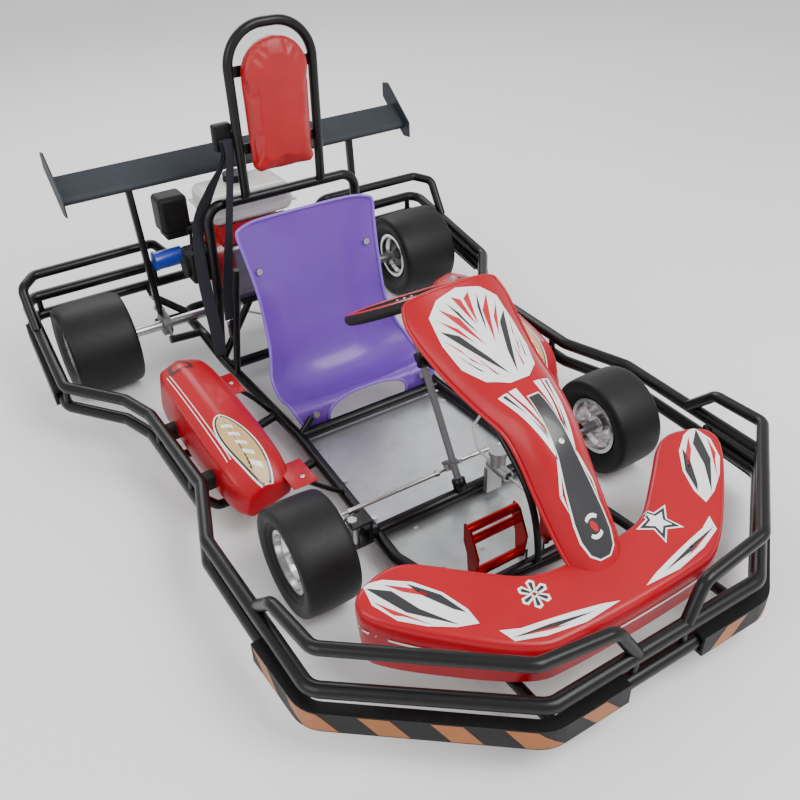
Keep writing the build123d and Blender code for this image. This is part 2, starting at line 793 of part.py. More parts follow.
with BuildPart() as brake_rod:
    with BuildSketch(Plane(origin=(brake_rod_x + 10, pedal_pivot_y, brake_rod_z), z_dir=(1, 0, 0))):
        Circle(8)
        Circle(3 + fit_clearance, mode=Mode.SUBTRACT)
    extrude(amount=6)
    add(
        box_between(
            (brake_rod_x + 10, pedal_pivot_y + 7, brake_rod_z - 4),
            (brake_rod_x + 16, pedal_pivot_y + 30, brake_rod_z + 4),
        )
    )
    add(
        box_between(
            (brake_rod_x - 3, pedal_pivot_y + 22, brake_rod_z - 4),
            (brake_rod_x + 16, pedal_pivot_y + 30, brake_rod_z + 4),
        )
    )
    with BuildSketch(Plane(origin=(brake_rod_x, pedal_pivot_y + 26, brake_rod_z), z_dir=(0, 1, 0))):
        Circle(3)
    extrude(amount=cylinder_front_y + 46 - pedal_pivot_y - 26)
save(brake_rod, "brake_rod")

# From the cylinder along the top of the left main rail, under the rear cross tube, to the caliper.
brake_hose_route = [
    (brake_rod_x, cylinder_rear_y - 1, brake_rod_z),
    (brake_rod_x, -270, brake_rod_z + 4),
    (100, -215, 170),
    (160, -172, 160),
    (208, -128, 112),
    (234, -80, 85),
    (231, 20, 84.5),
    (228, 130, 84),
    (224, 260, 84),
    (224, 400, 84),
    (207, 452, 64),
    (204, 520, 39),
    (198, 590, 37),
    (150, 700, 40),
    (20, 790, 42),
    (-60, 872, 52),
    (-96, 921, 84),
    (-112, 922, 142),
    (-116, 902, 192),
    (-116, 867, 196),
]
hose_radius = 3.5
with BuildPart() as brake_hose:
    add(swept_tube(brake_hose_route, 16, hose_radius))
save(brake_hose, "brake_hose")

# ---- seat, headrest and belt --------------------------------------------


def shell_from_stations(stations, thickness, power):
    """A thin shell lofted through U-shaped bands.

    Each station gives y and z of the middle, the outward direction in the
    middle plane, half the width and how far the edges stand forward.
    """
    count = 9
    with BuildPart() as shell:
        for y, z, normal_y, normal_z, half_width, rise in stations:
            size = hypot(normal_y, normal_z)
            across = Vector(1, 0, 0)
            normal = Vector(0, normal_y / size, normal_z / size)
            inner = []
            outer = []
            for index in range(count):
                share = -1 + 2 * index / (count - 1)
                lift = rise * abs(share) ** power
                inner.append((share * half_width, lift))
                spread = 1 + thickness / half_width * (1 if rise > 0 else -1)
                outer.append((share * half_width * spread, lift - thickness))
            with BuildSketch(Plane(origin=(0, y, z), x_dir=across, z_dir=across.cross(normal))):
                with BuildLine():
                    Polyline(*inner, *reversed(outer), close=True)
                make_face()
        loft(ruled=True)
    return shell


seat_thickness = 5
seat_stations = [
    (140, 66, -1, 0.05, 190, 2),
    (134, 118, -0.9, 0.43, 222, 2),
    (165, 130, 0.05, 1, 226, 8),
    (215, 96, 0.3, 0.95, 224, 34),
    (290, 84, -0.1, 1, 218, 75),
    (350, 130, -0.6, 0.8, 205, 72),
    (392, 240, -0.95, 0.3, 190, 52),
    (425, 360, -0.96, 0.28, 190, 52),
    (447, 460, -0.97, 0.25, 200, 40),
    (457, 545, -0.98, 0.2, 208, 28),
]
seat_shell = shell_from_stations(seat_stations, seat_thickness, 3)
with BuildPart() as seat_shell_cut:
    add(seat_shell.part)
    with BuildSketch(Plane.XZ.offset(-60)):
        with Locations((0, 56)):
            RectangleRounded(258, 132, 62)
    extrude(amount=-110, mode=Mode.SUBTRACT)
save(seat_shell_cut, "seat_shell")

seat_bolt_parts = []
for x in (-168, 168):
    seat_bolt_parts.append(hex_bolt((x, 127, 112), (0, -0.93, 0.37), 10, 16))
    seat_bolt_parts.append(hex_bolt((x, 404, 420), (-0.12 * x / 168, -0.96, 0.26), 10, 26))
with BuildPart() as seat_bolts:
    add(seat_bolt_parts)
save(seat_bolts, "seat_bolts")

back_bar_y = 567
back_bar_z = 562
back_bar_radius = 14
back_bar_route = [(244, 606, frame_z + 14), (232, 572, 300), (230, back_bar_y, back_bar_z)]
back_bar_half = [*back_bar_route, (0, back_bar_y, back_bar_z)]
with BuildPart() as seat_back_bar:
    add(swept_tube(back_bar_half, 46, back_bar_radius, rail_wall))
    mirror(about=Plane.YZ)
save(seat_back_bar, "seat_back_bar")

hoop_y = 556
hoop_half = 121
hoop_top_z = 1010
hoop_tube_radius = 13
hoop_foot_z = back_bar_z + back_bar_radius - 2
with BuildPart() as headrest_hoop:
    add(
        swept_tube(
            [
                (-hoop_half + 5, hoop_y, hoop_foot_z),
                (-hoop_half, hoop_y, hoop_top_z),
                (hoop_half, hoop_y, hoop_top_z),
                (hoop_half - 5, hoop_y, hoop_foot_z),
            ],
            104,
            hoop_tube_radius,
            rail_wall,
        )
    )
    for z in (700, 900):
        add(box_between((-hoop_half + 6, hoop_y + 2, z - 14), (hoop_half - 6, hoop_y + 6, z + 14)))
save(headrest_hoop, "headrest_hoop")

pad_half = 99
pad_low_z = 632
pad_high_z = 988
pad_back_y = hoop_y - 1
pad_thickness = 44
with BuildPart() as headrest_pad:
    with BuildSketch(Plane.XZ.offset(-pad_back_y)):
        with BuildLine():
            Polyline((-pad_half + 8, pad_low_z), (pad_half - 8, pad_low_z), (pad_half, pad_high_z - 90))
            ThreePointArc(
                (pad_half, pad_high_z - 90), (0, pad_high_z), (-pad_half, pad_high_z - 90)
            )
            Line((-pad_half, pad_high_z - 90), (-pad_half + 8, pad_low_z))
        make_face()
    extrude(amount=pad_thickness)
    fillet(headrest_pad.edges().filter_by(Axis.Y), 22)
    fillet(headrest_pad.faces().sort_by(Axis.Y)[0].edges(), 12)
save(headrest_pad, "headrest_pad")

guide_x = -150
with BuildPart() as belt_guide:
    add(box_between((guide_x - 26, hoop_y + 16, 700), (guide_x + 26, hoop_y + 42, 772), 6))
    add(box_between((guide_x - 22, hoop_y + 24, 690), (guide_x + 22, hoop_y + 34, 760)), mode=Mode.SUBTRACT)
    add(box_between((guide_x + 8, hoop_y + 13.2, 724), (guide_x + 44, hoop_y + 17, 750)))
save(belt_guide, "belt_guide")


def strap(points, width, thickness, across):
    """A flat strap along straight runs, its width kept in one direction."""
    with BuildPart() as band:
        with BuildLine() as route:
            Polyline(*points)
        start_tangent = route.line % 0
        with BuildSketch(Plane(origin=route.line @ 0, x_dir=across, z_dir=start_tangent)):
            Rectangle(width, thickness)
        sweep(path=route.line, transition=Transition.RIGHT)
    return band.part


with BuildPart() as belt_webbing:
    add(strap([(guide_x, hoop_y + 27, 756), (guide_x - 100, 640, 421)], 38, 1.6, (1, 0, 0)))
    add(strap([(guide_x, hoop_y + 31, 756), (-272, 592, 548), (-276, 500, 138)], 38, 1.6, (1, 0, 0)))
save(belt_webbing, "belt_webbing")

with BuildPart() as belt_retractor:
    add(box_between((-286, 602, 330), (-216, 682, 422), 8))
    with BuildSketch(Plane(origin=(-286, 642, 372), z_dir=(-1, 0, 0))):
        Circle(30)
    extrude(amount=10)
    add(box_between((-250, 588, 340), (-244, 606, 410)))
save(belt_retractor, "belt_retractor")

# ---- rear wing ----------------------------------------------------------
wing_half_span = 551
wing_front = (805, 570)
wing_rear = (864, 630)
with BuildPart() as wing_blade:
    with BuildSketch(Plane(origin=(-wing_half_span, 0, 0), x_dir=(0, 1, 0), z_dir=(1, 0, 0))):
        with BuildLine():
            Spline(
                (wing_rear[0], wing_rear[1]),
                (826, 604),
                (800, 568),
                (812, 562),
                (842, 596),
                (wing_rear[0] + 2, wing_rear[1] - 3),
                periodic=False,
            )
            Line((wing_rear[0] + 2, wing_rear[1] - 3), (wing_rear[0], wing_rear[1]))
        make_face()
    extrude(amount=2 * wing_half_span)
save(wing_blade, "wing_blade")

endplate_outline = [(766, 545), (800, 541), (924, 640), (924, 684), (892, 690), (768, 592)]
endplate_thickness = 4
with BuildPart() as wing_endplates:
    for low_x in (wing_half_span + 0.2, -wing_half_span - 0.2 - endplate_thickness):
        with BuildSketch(Plane(origin=(low_x, 0, 0), x_dir=(0, 1, 0), z_dir=(1, 0, 0))):
            with BuildLine():
                Polyline(*endplate_outline, close=True)
            make_face()
        extrude(amount=endplate_thickness)
save(wing_endplates, "wing_endplates")

strut_top = (361, 829, 572)
strut_bottom = (352.3, 786, 177)
strut_half_width = 11
strut_bolt = hex_bolt((355.4, 787, 186), (1, 0, 0), 8, 16)
with BuildPart() as wing_strut:
    run = Vector(*strut_bottom) - Vector(*strut_top)
    with BuildSketch(Plane(origin=strut_top, x_dir=(1, 0, 0), z_dir=run.normalized())):
        Rectangle(6, 2 * strut_half_width)
    extrude(amount=run.length)
with BuildPart() as wing_struts:
    add(mirrored([wing_strut.part, strut_bolt]))
save(wing_struts, "wing_struts")

# ---- bodywork -----------------------------------------------------------
skin = 4
nose_low_z = 108
nose_front_top_z = 213
nose_top_slope = 0.168
nose_outline = [
    (241, -880),
    (478, -668),
    (466, -606),
    (352, -572),
    (235, -672),
    (150, -735),
    (76, -745),
]
nose_points = [(0, -888)] + nose_outline + [(0, -745)]


def nose_solid(inset, low, bevel):
    """The nose's outline below a top that rises towards the rear."""
    with BuildPart() as solid:
        with BuildSketch(Plane.XY.offset(low)):
            with BuildLine():
                Polyline(*nose_points, close=True)
            make_face()
            mirror(about=Plane.YZ)
            if inset:
                offset(amount=-inset, kind=Kind.INTERSECTION, mode=Mode.REPLACE)
        extrude(amount=200)
        top_origin = (0, -888, nose_front_top_z - inset)
        split(bisect_by=Plane(origin=top_origin, z_dir=(0, -nose_top_slope, 1)), keep=Keep.BOTTOM)
        if bevel:
            chamfer(solid.faces().sort_by(Axis.Z)[-1].edges(), bevel)
    return solid.part


# A notch at the middle lets the steering panel's lower end through.
nose_outer = nose_solid(0, nose_low_z, 7)
nose_inner = nose_solid(skin, nose_low_z - 1, 0)
with BuildPart() as nose_fairing:
    add(nose_outer)
    add(nose_inner, mode=Mode.SUBTRACT)
    add(box_between((-72, -824, 170), (72, -770, 300)), mode=Mode.SUBTRACT)
    add(box_between((-84, -792, 170), (84, -730, 300)), mode=Mode.SUBTRACT)
save(nose_fairing, "nose_fairing")

panel_stations = [
    (-812, 205, -0.9, 0.42, 60, -34),
    (-784, 248, -0.87, 0.5, 72, -40),
    (-698, 354, -0.78, 0.62, 78, -44),
    (-636, 432, -0.72, 0.7, 80, -44),
    (-580, 476, -0.6, 0.8, 86, -42),
    (-516, 500, -0.3, 0.95, 96, -42),
    (-433, 527, -0.3, 0.95, 110, -42),
    (-356, 562, -0.4, 0.92, 122, -38),
    (-298, 598, -0.5, 0.87, 132, -32),
    (-262, 622, -0.5, 0.87, 120, -24),
]
front_panel = shell_from_stations(panel_stations, skin, 3)
save(front_panel, "front_panel")

pod_sections = [
    (-112, [(352, 96), (470, 64), (486, 84), (470, 128), (430, 150), (358, 142)]),
    (-60, [(338, 84), (486, 62), (508, 100), (494, 176), (440, 200), (352, 186)]),
    (120, [(336, 80), (490, 60), (516, 120), (500, 214), (440, 238), (356, 220)]),
    (330, [(345, 84), (488, 62), (514, 126), (500, 232), (444, 256), (364, 240)]),
    (396, [(372, 100), (478, 74), (500, 130), (488, 224), (440, 246), (384, 228)]),
]


def pod_loft(shrink):
    with BuildPart() as pod:
        for index, (y, outline) in enumerate(pod_sections):
            middle_x = sum(point[0] for point in outline) / len(outline)
            middle_z = sum(point[1] for point in outline) / len(outline)
            scaled = []
            for x, z in outline:
                reach = hypot(x - middle_x, z - middle_z)
                scaled.append(
                    (
                        middle_x + (x - middle_x) * (reach - shrink) / reach,
                        middle_z + (z - middle_z) * (reach - shrink) / reach,
                    )
                )
            place = y
            if shrink and index == 0:
                place = y + shrink
            if shrink and index == len(pod_sections) - 1:
                place = y - shrink
            with BuildSketch(Plane(origin=(0, place, 0), x_dir=(1, 0, 0), z_dir=(0, -1, 0))):
                with BuildLine():
                    Polyline(*scaled, close=True)
                make_face()
        loft(ruled=True)
    return pod.part


pod_outer = pod_loft(0)
pod_inner = pod_loft(skin)
with BuildPart() as side_pod_left:
    add(pod_outer)
    add(pod_inner, mode=Mode.SUBTRACT)
    add(box_between((306, -162, 148), (372, -66, 152)))
    add(box_between((318, 216, 196), (372, 316, 200)))
save(side_pod_left, "side_pod_left")
with BuildPart() as side_pod_right:
    add(side_pod_left.part.mirror(Plane.YZ))
save(side_pod_right, "side_pod_right")

pod_stay_routes = [
    [(244, -150, frame_z + 12), (280, -150, 100), (330, -150, 146)],
    [(243, 270, frame_z + 8), (280, 268, 130), (340, 266, 192)],
]
panel_stays = [
    swept_tube([(150, -596, frame_z + 6), (140, -632, 150), (124, -634, 372), (60, -655, 392)], 24, 8),
    swept_tube([(40, -745, 262), (60, -650, 130), (90, -598, frame_z + 6)], 50, 6),
]
with BuildPart() as body_stays:
    add(mirrored(panel_stays + [swept_tube(route, 20, 7) for route in pod_stay_routes]))
save(body_stays, "body_stays")

# ---- engine -------------------------------------------------------------
engine_low_z = plate_high[2] + 2
engine_low_x = -150
engine_high_x = 44
with BuildPart() as engine_block:
    add(box_between((engine_low_x, 636, engine_low_z), (engine_high_x, 806, 396), 14))
    add(box_between((engine_low_x - 4, 626, engine_low_z - 1.8), (engine_high_x + 4, 816, engine_low_z + 14)))
    fin_count = 9
    for index in range(fin_count):
        z = 396 + index * 7
        add(box_between((-130, 660, z - 8), (24, 790, z - 4)))
    add(box_between((-112, 674, 380), (6, 776, 396 + 7 * (fin_count - 1))))
    add(disc((engine_high_x - 2, crank_y, crank_z), (1, 0, 0), 30, 12))
    add(disc((engine_high_x, crank_y, crank_z), (1, 0, 0), 10, 72))
save(engine_block, "engine_block")

with BuildPart() as engine_shroud:
    add(disc((engine_low_x - 1, crank_y, crank_z), (-1, 0, 0), 96, 52))
    fillet(engine_shroud.edges().sort_by(Axis.X)[0], 12)
    with BuildSketch(Plane(origin=(engine_low_x - 54, crank_y, crank_z), z_dir=(-1, 0, 0))):
        Circle(62)
    extrude(amount=12, taper=20)
    add(box_between((-168, 642, 404), (34, 654, 462)))
    add(box_between((-170, 642, 404), (-158, 798, 462)))
    with BuildSketch(Plane(origin=(engine_low_x - 60, crank_y, crank_z), z_dir=(-1, 0, 0))):
        with PolarLocations(44, 12):
            Rectangle(16, 6)
    extrude(amount=20, mode=Mode.SUBTRACT)
save(engine_shroud, "engine_shroud")

with BuildPart() as starter_grip:
    add(box_between((-232, 688, 384), (-220, 712, 428), 5))
save(starter_grip, "starter_grip")

tank_low = (-196, 622, 470)
tank_high = (58, 794, 556)
with BuildPart() as fuel_tank:
    add(box_between(tank_low, tank_high, 26))
    add(box_between((tank_low[0] - 5, tank_low[1] - 5, 500), (tank_high[0] + 5, tank_high[1] + 5, 504)))
save(fuel_tank, "fuel_tank")
cap_x = -74
cap_y = 735
with BuildPart() as fuel_cap:
    with BuildSketch(Plane.XY.offset(tank_high[2] + 0.5)):
        with Locations((cap_x, cap_y)):
            Circle(34)
            with PolarLocations(36, 16):
                Circle(3, mode=Mode.SUBTRACT)
    extrude(amount=20)
    fillet(fuel_cap.faces().sort_by(Axis.Z)[-1].outer_wire().edges(), 1.5)
save(fuel_cap, "fuel_cap")

with BuildPart() as air_cleaner:
    add(box_between((-300, 770, 420), (-212, 850, 530), 14))
    add(box_between((-290, 776, 402), (-222, 844, 424), 6))
    add(disc((-230, 806, 412), (1, 0, 0), 18, 64))
save(air_cleaner, "air_cleaner")

silencer_centre = (-258, 774, 352)
with BuildPart() as silencer:
    add(disc(silencer_centre, (-1, 0, 0), 27, 78))
    add(disc((-336, 774, 352), (-1, 0, 0), 29, 7, 9))
    add(disc((-259, 774, 352), (1, 0, 0), 11, 60))
save(silencer, "silencer")

lever_outline = [(750, 372), (762, 372), (744, 436), (732, 434)]
with BuildPart() as throttle_lever:
    add(disc((-232, 756, 372), (1, 0, 0), 9, 6))
    with BuildSketch(Plane(origin=(-232, 0, 0), x_dir=(0, 1, 0), z_dir=(1, 0, 0))):
        with BuildLine():
            Polyline(*lever_outline, close=True)
        make_face()
    extrude(amount=5)
    add(disc((-240, 738, 436), (1, 0, 0), 11, 20))
save(throttle_lever, "throttle_lever")

clutch_drum = sprocket_solid(clutch_teeth, 5, sprocket_x, crank_y, crank_z, 10 + fit_clearance, 17, 18)
with BuildPart() as clutch_drum_part:
    add(clutch_drum.part)
    with BuildSketch(Plane(origin=(sprocket_x - 8, crank_y, crank_z), z_dir=(-1, 0, 0))):
        Circle(40)
        Circle(10 + fit_clearance, mode=Mode.SUBTRACT)
    extrude(amount=26)
save(clutch_drum_part, "clutch_drum")

# The chain's two rows of side plates pass on both sides of the teeth.
axle_pitch_radius = chain_pitch / (2 * sin(pi / axle_teeth))
clutch_pitch_radius = chain_pitch / (2 * sin(pi / clutch_teeth))
chain_span_y = rear_axle_y - crank_y
chain_span_z = rear_axle_z - crank_z
chain_span = hypot(chain_span_y, chain_span_z)
chain_half_height = 5


def chain_loop(grow, low_x, thickness):
    """A closed band round both sprockets, grown from the pitch line."""
    with BuildPart() as band:
        with BuildSketch(Plane(origin=(low_x, 0, 0), x_dir=(0, 1, 0), z_dir=(1, 0, 0))):
            with Locations((crank_y, crank_z)):
                Circle(clutch_pitch_radius + grow)
            with Locations((rear_axle_y, rear_axle_z)):
                Circle(axle_pitch_radius + grow)
            make_hull()
        extrude(amount=thickness)
    return band.part


chain_rows = []
for low_x in (sprocket_x - 5.4, sprocket_x + 3.4):
    with BuildPart() as chain_row:
        add(chain_loop(chain_half_height, low_x, 2))
        add(chain_loop(-chain_half_height, low_x - 1, 4), mode=Mode.SUBTRACT)
    chain_rows.append(chain_row.part)
# Rollers join the rows along the two straight runs.
tilt = atan2(chain_span_z, chain_span_y)
swing = (axle_pitch_radius - clutch_pitch_radius) / chain_span
run_length = chain_span * cos(swing)
rollers = []
for sign in (1, -1):
    normal_angle = tilt + sign * (pi / 2 + swing)
    normal_y = cos(normal_angle)
    normal_z = sin(normal_angle)
    start_y = crank_y + clutch_pitch_radius * normal_y
    start_z = crank_z + clutch_pitch_radius * normal_z
    end_y = rear_axle_y + axle_pitch_radius * normal_y
    end_z = rear_axle_z + axle_pitch_radius * normal_z
    steps = int(hypot(end_y - start_y, end_z - start_z) / chain_pitch)
    for index in range(3, steps - 2):
        share = index / steps
        y = start_y + (end_y - start_y) * share
        z = start_z + (end_z - start_z) * share
        rollers.append(disc((sprocket_x - 4, y, z), (1, 0, 0), 3.9, 8))
with BuildPart() as drive_chain:
    add(chain_rows)
    add(rollers)
save(drive_chain, "drive_chain")

with BuildPart() as chain_guard:
    add(chain_loop(18, sprocket_x + 22, 2))
    add(chain_loop(18, sprocket_x - 16, 40))
    add(chain_loop(16, sprocket_x - 17, 39), mode=Mode.SUBTRACT)
    add(disc((sprocket_x, rear_axle_y, rear_axle_z), (1, 0, 0), 24, 40), mode=Mode.SUBTRACT)
    add(box_between((60, 668, plate_high[2] + 0.2), (86, 684, plate_high[2] + 4)))
    split(bisect_by=Plane(origin=(0, 770, 96), z_dir=(0, 0.2, 1)), keep=Keep.TOP)
save(chain_guard, "chain_guard")
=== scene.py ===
import math
import bpy
import bmesh
from mathutils.geometry import tessellate_polygon
from mathutils import Matrix, Vector
from mathutils.bvhtree import BVHTree


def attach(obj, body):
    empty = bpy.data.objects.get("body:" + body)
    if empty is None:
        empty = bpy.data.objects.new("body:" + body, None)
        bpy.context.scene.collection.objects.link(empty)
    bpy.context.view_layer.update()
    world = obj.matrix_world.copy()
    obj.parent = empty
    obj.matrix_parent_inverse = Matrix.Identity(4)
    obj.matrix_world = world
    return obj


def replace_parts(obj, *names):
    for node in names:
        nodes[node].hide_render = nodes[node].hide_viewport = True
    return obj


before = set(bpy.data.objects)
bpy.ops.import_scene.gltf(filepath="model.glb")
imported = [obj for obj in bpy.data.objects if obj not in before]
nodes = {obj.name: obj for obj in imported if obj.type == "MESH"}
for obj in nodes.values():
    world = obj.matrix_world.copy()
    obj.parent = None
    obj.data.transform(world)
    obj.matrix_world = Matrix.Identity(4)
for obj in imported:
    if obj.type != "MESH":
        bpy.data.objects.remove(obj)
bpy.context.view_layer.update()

MM = 0.001
DECAL_STEP = 10
SIDES = (("left", 1), ("right", -1))
scene = bpy.context.scene


# ---- node materials -------------------------------------------------------
class Shader:
    """A principled material with small helpers for its nodes."""

    def __init__(self, name, metallic=0.0, coat=0.0, coat_rough=0.05, specular=0.5):
        self.mat = bpy.data.materials.new(name)
        self.mat.use_nodes = True
        self.tree = self.mat.node_tree
        self.bsdf = self.tree.nodes["Principled BSDF"]
        self.set("Metallic", metallic)
        self.set("Coat Weight", coat)
        self.set("Coat Roughness", coat_rough)
        self.set("Specular IOR Level", specular)
        self.coords = self.node("ShaderNodeTexCoord").outputs["Object"]

    def node(self, kind, **settings):
        made = self.tree.nodes.new(kind)
        for key, value in settings.items():
            setattr(made, key, value)
        return made

    def link(self, a, b):
        self.tree.links.new(a, b)

    def set(self, socket, value):
        self.bsdf.inputs[socket].default_value = value

    def scaled(self, scale, rotation=(0, 0, 0)):
        mapping = self.node("ShaderNodeMapping")
        mapping.inputs["Scale"].default_value = scale
        mapping.inputs["Rotation"].default_value = rotation
        self.link(self.coords, mapping.inputs["Vector"])
        return mapping.outputs["Vector"]

    def noise(self, scale, detail=4.0, vector=None, roughness=0.55):
        made = self.node("ShaderNodeTexNoise")
        made.inputs["Scale"].default_value = scale
        made.inputs["Detail"].default_value = detail
        made.inputs["Roughness"].default_value = roughness
        self.link(vector or self.coords, made.inputs["Vector"])
        return made.outputs["Fac"]

    def ramp(self, value, stops):
        made = self.node("ShaderNodeValToRGB")
        ramp = made.color_ramp
        while len(ramp.elements) < len(stops):
            ramp.elements.new(0.5)
        for element, (place, colour) in zip(ramp.elements, stops):
            element.position = place
            element.color = (*colour, 1.0)
        self.link(value, made.inputs["Fac"])
        return made.outputs["Color"]

    def mix(self, factor, a, b):
        made = self.node("ShaderNodeMix", data_type="RGBA")
        for socket, value in ((made.inputs[0], factor), (made.inputs[6], a), (made.inputs[7], b)):
            if isinstance(value, (int, float)):
                socket.default_value = value
            elif isinstance(value, tuple):
                socket.default_value = (*value, 1.0)
            else:
                self.link(value, socket)
        return made.outputs[2]

    def math(self, operation, a, b):
        made = self.node("ShaderNodeMath", operation=operation)
        for socket, value in zip(made.inputs, (a, b)):
            if isinstance(value, (int, float)):
                socket.default_value = value
            else:
                self.link(value, socket)
        return made.outputs[0]

    def rough(self, value, low, high):
        made = self.node("ShaderNodeMapRange")
        self.link(value, made.inputs["Value"])
        made.inputs["To Min"].default_value = low
        made.inputs["To Max"].default_value = high
        self.link(made.outputs["Result"], self.bsdf.inputs["Roughness"])

    def bump(self, height, strength, distance):
        made = self.node("ShaderNodeBump")
        made.inputs["Strength"].default_value = strength
        made.inputs["Distance"].default_value = distance
        self.link(height, made.inputs["Height"])
        self.link(made.outputs["Normal"], self.bsdf.inputs["Normal"])

    def colour(self, value):
        self.link(value, self.bsdf.inputs["Base Color"])


def shade(colour, factor):
    return tuple(min(1.0, c * factor) for c in colour)


def coated(name, colour, rough, var, peel, depth, coat, dust=0.0, specular=0.5):
    """Paint or moulded plastic: cloudy colour, orange peel and a little dust."""
    s = Shader(name, coat=coat, coat_rough=0.08, specular=specular)
    broad = s.noise(7, 5)
    fine = s.noise(peel, 3)
    tone = s.ramp(broad, [(0.3, shade(colour, 1 - var)), (0.7, shade(colour, 1 + var))])
    if dust:
        speck = s.ramp(s.noise(55, 8, roughness=0.7), [(0.56, (0, 0, 0)), (0.72, (1, 1, 1))])
        tone = s.mix(s.math("MULTIPLY", speck, dust), tone, (0.35, 0.34, 0.33))
    s.colour(tone)
    s.rough(s.noise(30, 6), *rough)
    s.bump(fine, 0.25, depth)
    return s.mat


def metal(name, colour, rough, stretch, scale, depth, var, grime):
    """Bare metal with a stretched grain."""
    s = Shader(name, metallic=1.0)
    grain = s.noise(scale, 6, s.scaled(stretch))
    cloud = s.noise(12, 5)
    tone = s.ramp(cloud, [(0.3, shade(colour, 1 - var)), (0.7, shade(colour, 1 + var))])
    if grime:
        stain = s.ramp(s.noise(40, 8, roughness=0.7), [(0.5, (0, 0, 0)), (0.75, (1, 1, 1))])
        tone = s.mix(s.math("MULTIPLY", stain, grime), tone, (0.12, 0.1, 0.085))
    s.colour(tone)
    s.rough(grain, *rough)
    s.bump(grain, 0.3, depth)
    return s.mat


def worn_rubber(name):
    """Tyre tread, dark with grey scuffs."""
    s = Shader(name, specular=0.3)
    cloud = s.noise(9, 6)
    scuff = s.noise(90, 8, roughness=0.7)
    tone = s.ramp(cloud, [(0.3, (0.004, 0.004, 0.0045)), (0.7, (0.009, 0.0095, 0.011))])
    marks = s.ramp(scuff, [(0.55, (0, 0, 0)), (0.8, (1, 1, 1))])
    s.colour(s.mix(s.math("MULTIPLY", marks, 0.3), tone, (0.02, 0.02, 0.021)))
    s.rough(scuff, 0.38, 0.62)
    s.bump(s.noise(700, 4), 0.3, 0.0004)
    return s.mat


def crossed_bands(s, turn, scale, distortion=0.0):
    """Two sets of bands that cross, for threads and for knurling."""
    waves = []
    for angle in (turn, -turn):
        wave = s.node("ShaderNodeTexWave", wave_type="BANDS", bands_direction="Z")
        wave.inputs["Scale"].default_value = scale
        wave.inputs["Distortion"].default_value = distortion
        s.link(s.scaled((1, 1, 1), (angle, angle, 0)), wave.inputs["Vector"])
        waves.append(wave.outputs["Fac"])
    return waves


def weave(name, colour, pitch, rough, metallic=0.0):
    """Crossed threads, as on webbing or a braided sleeve."""
    s = Shader(name, metallic=metallic, specular=0.35)
    threads = s.math("MAXIMUM", *crossed_bands(s, math.radians(38), pitch, 0.4))
    s.colour(s.ramp(threads, [(0.2, shade(colour, 0.5)), (0.8, shade(colour, 1.4))]))
    s.rough(threads, *rough)
    s.bump(threads, 0.6, 0.0006)
    return s.mat


def knurled(name):
    """A knurled steel tube."""
    s = Shader(name, metallic=0.85)
    cross = s.math("MULTIPLY", *crossed_bands(s, 0.7, 90))
    s.colour(s.ramp(cross, [(0.1, (0.1, 0.1, 0.105)), (0.8, (0.42, 0.42, 0.44))]))
    s.rough(cross, 0.55, 0.3)
    s.bump(cross, 0.7, 0.001)
    return s.mat


def grained(name, colour):
    """Soft vinyl with a pebbled grain."""
    s = Shader(name, coat=0.15, coat_rough=0.3)
    cells = s.node("ShaderNodeTexVoronoi")
    cells.inputs["Scale"].default_value = 420
    s.link(s.coords, cells.inputs["Vector"])
    cloud = s.noise(14, 5)
    s.colour(s.ramp(cloud, [(0.3, shade(colour, 0.86)), (0.7, shade(colour, 1.12))]))
    s.rough(s.noise(60, 6), 0.38, 0.52)
    height = s.math("ADD", cells.outputs["Distance"], s.math("MULTIPLY", cloud, 2.0))
    s.bump(height, 0.22, 0.0006)
    return s.mat


# Plastics and paints: colour, roughness from and to, colour variation, scale and depth of the
# orange peel, coat, dust, specular level.
RED = (0.4, 0.0004, 0.009)
black_paint = coated(
    "black_paint", (0.003, 0.003, 0.0034), (0.26, 0.4), 0.2, 500, 0.0002, 0.06, 0.02, 0.3
)
black_plastic = coated(
    "black_plastic", (0.004, 0.004, 0.005), (0.45, 0.65), 0.2, 900, 0.0003, 0.0, 0.04, 0.3
)
guard_plastic = coated(
    "guard_plastic", (0.005, 0.005, 0.0055), (0.42, 0.6), 0.2, 400, 0.0004, 0.0, 0.02, 0.25
)
red_plastic = coated("red_plastic", RED, (0.26, 0.38), 0.06, 260, 0.0003, 0.08, 0.0, 0.32)
seat_plastic = coated("seat_plastic", (0.15, 0.05, 0.4), (0.26, 0.38), 0.06, 240, 0.0004, 0.15, 0.0, 0.4)
# The seat's rolled rim is a lighter copy of the seat's purple: a painted highlight along the rim.
seat_rim_painted_highlight = coated("seat_rim_painted_highlight", (0.2, 0.09, 0.56), (0.28, 0.42), 0.06, 240, 0.0004, 0.2, 0.0)
wing_plastic = coated("wing_plastic", (0.022, 0.028, 0.036), (0.5, 0.66), 0.12, 700, 0.0002, 0.0, 0.04, 0.35)
white_paint = coated("white_paint", (0.72, 0.71, 0.67), (0.22, 0.35), 0.05, 400, 0.0002, 0.35, 0.05)
shroud_paint = coated("shroud_paint", (0.42, 0.012, 0.012), (0.2, 0.36), 0.12, 500, 0.0003, 0.4, 0.08)
blue_paint = coated("blue_paint", (0.012, 0.045, 0.42), (0.22, 0.38), 0.15, 400, 0.0002, 0.4, 0.06)
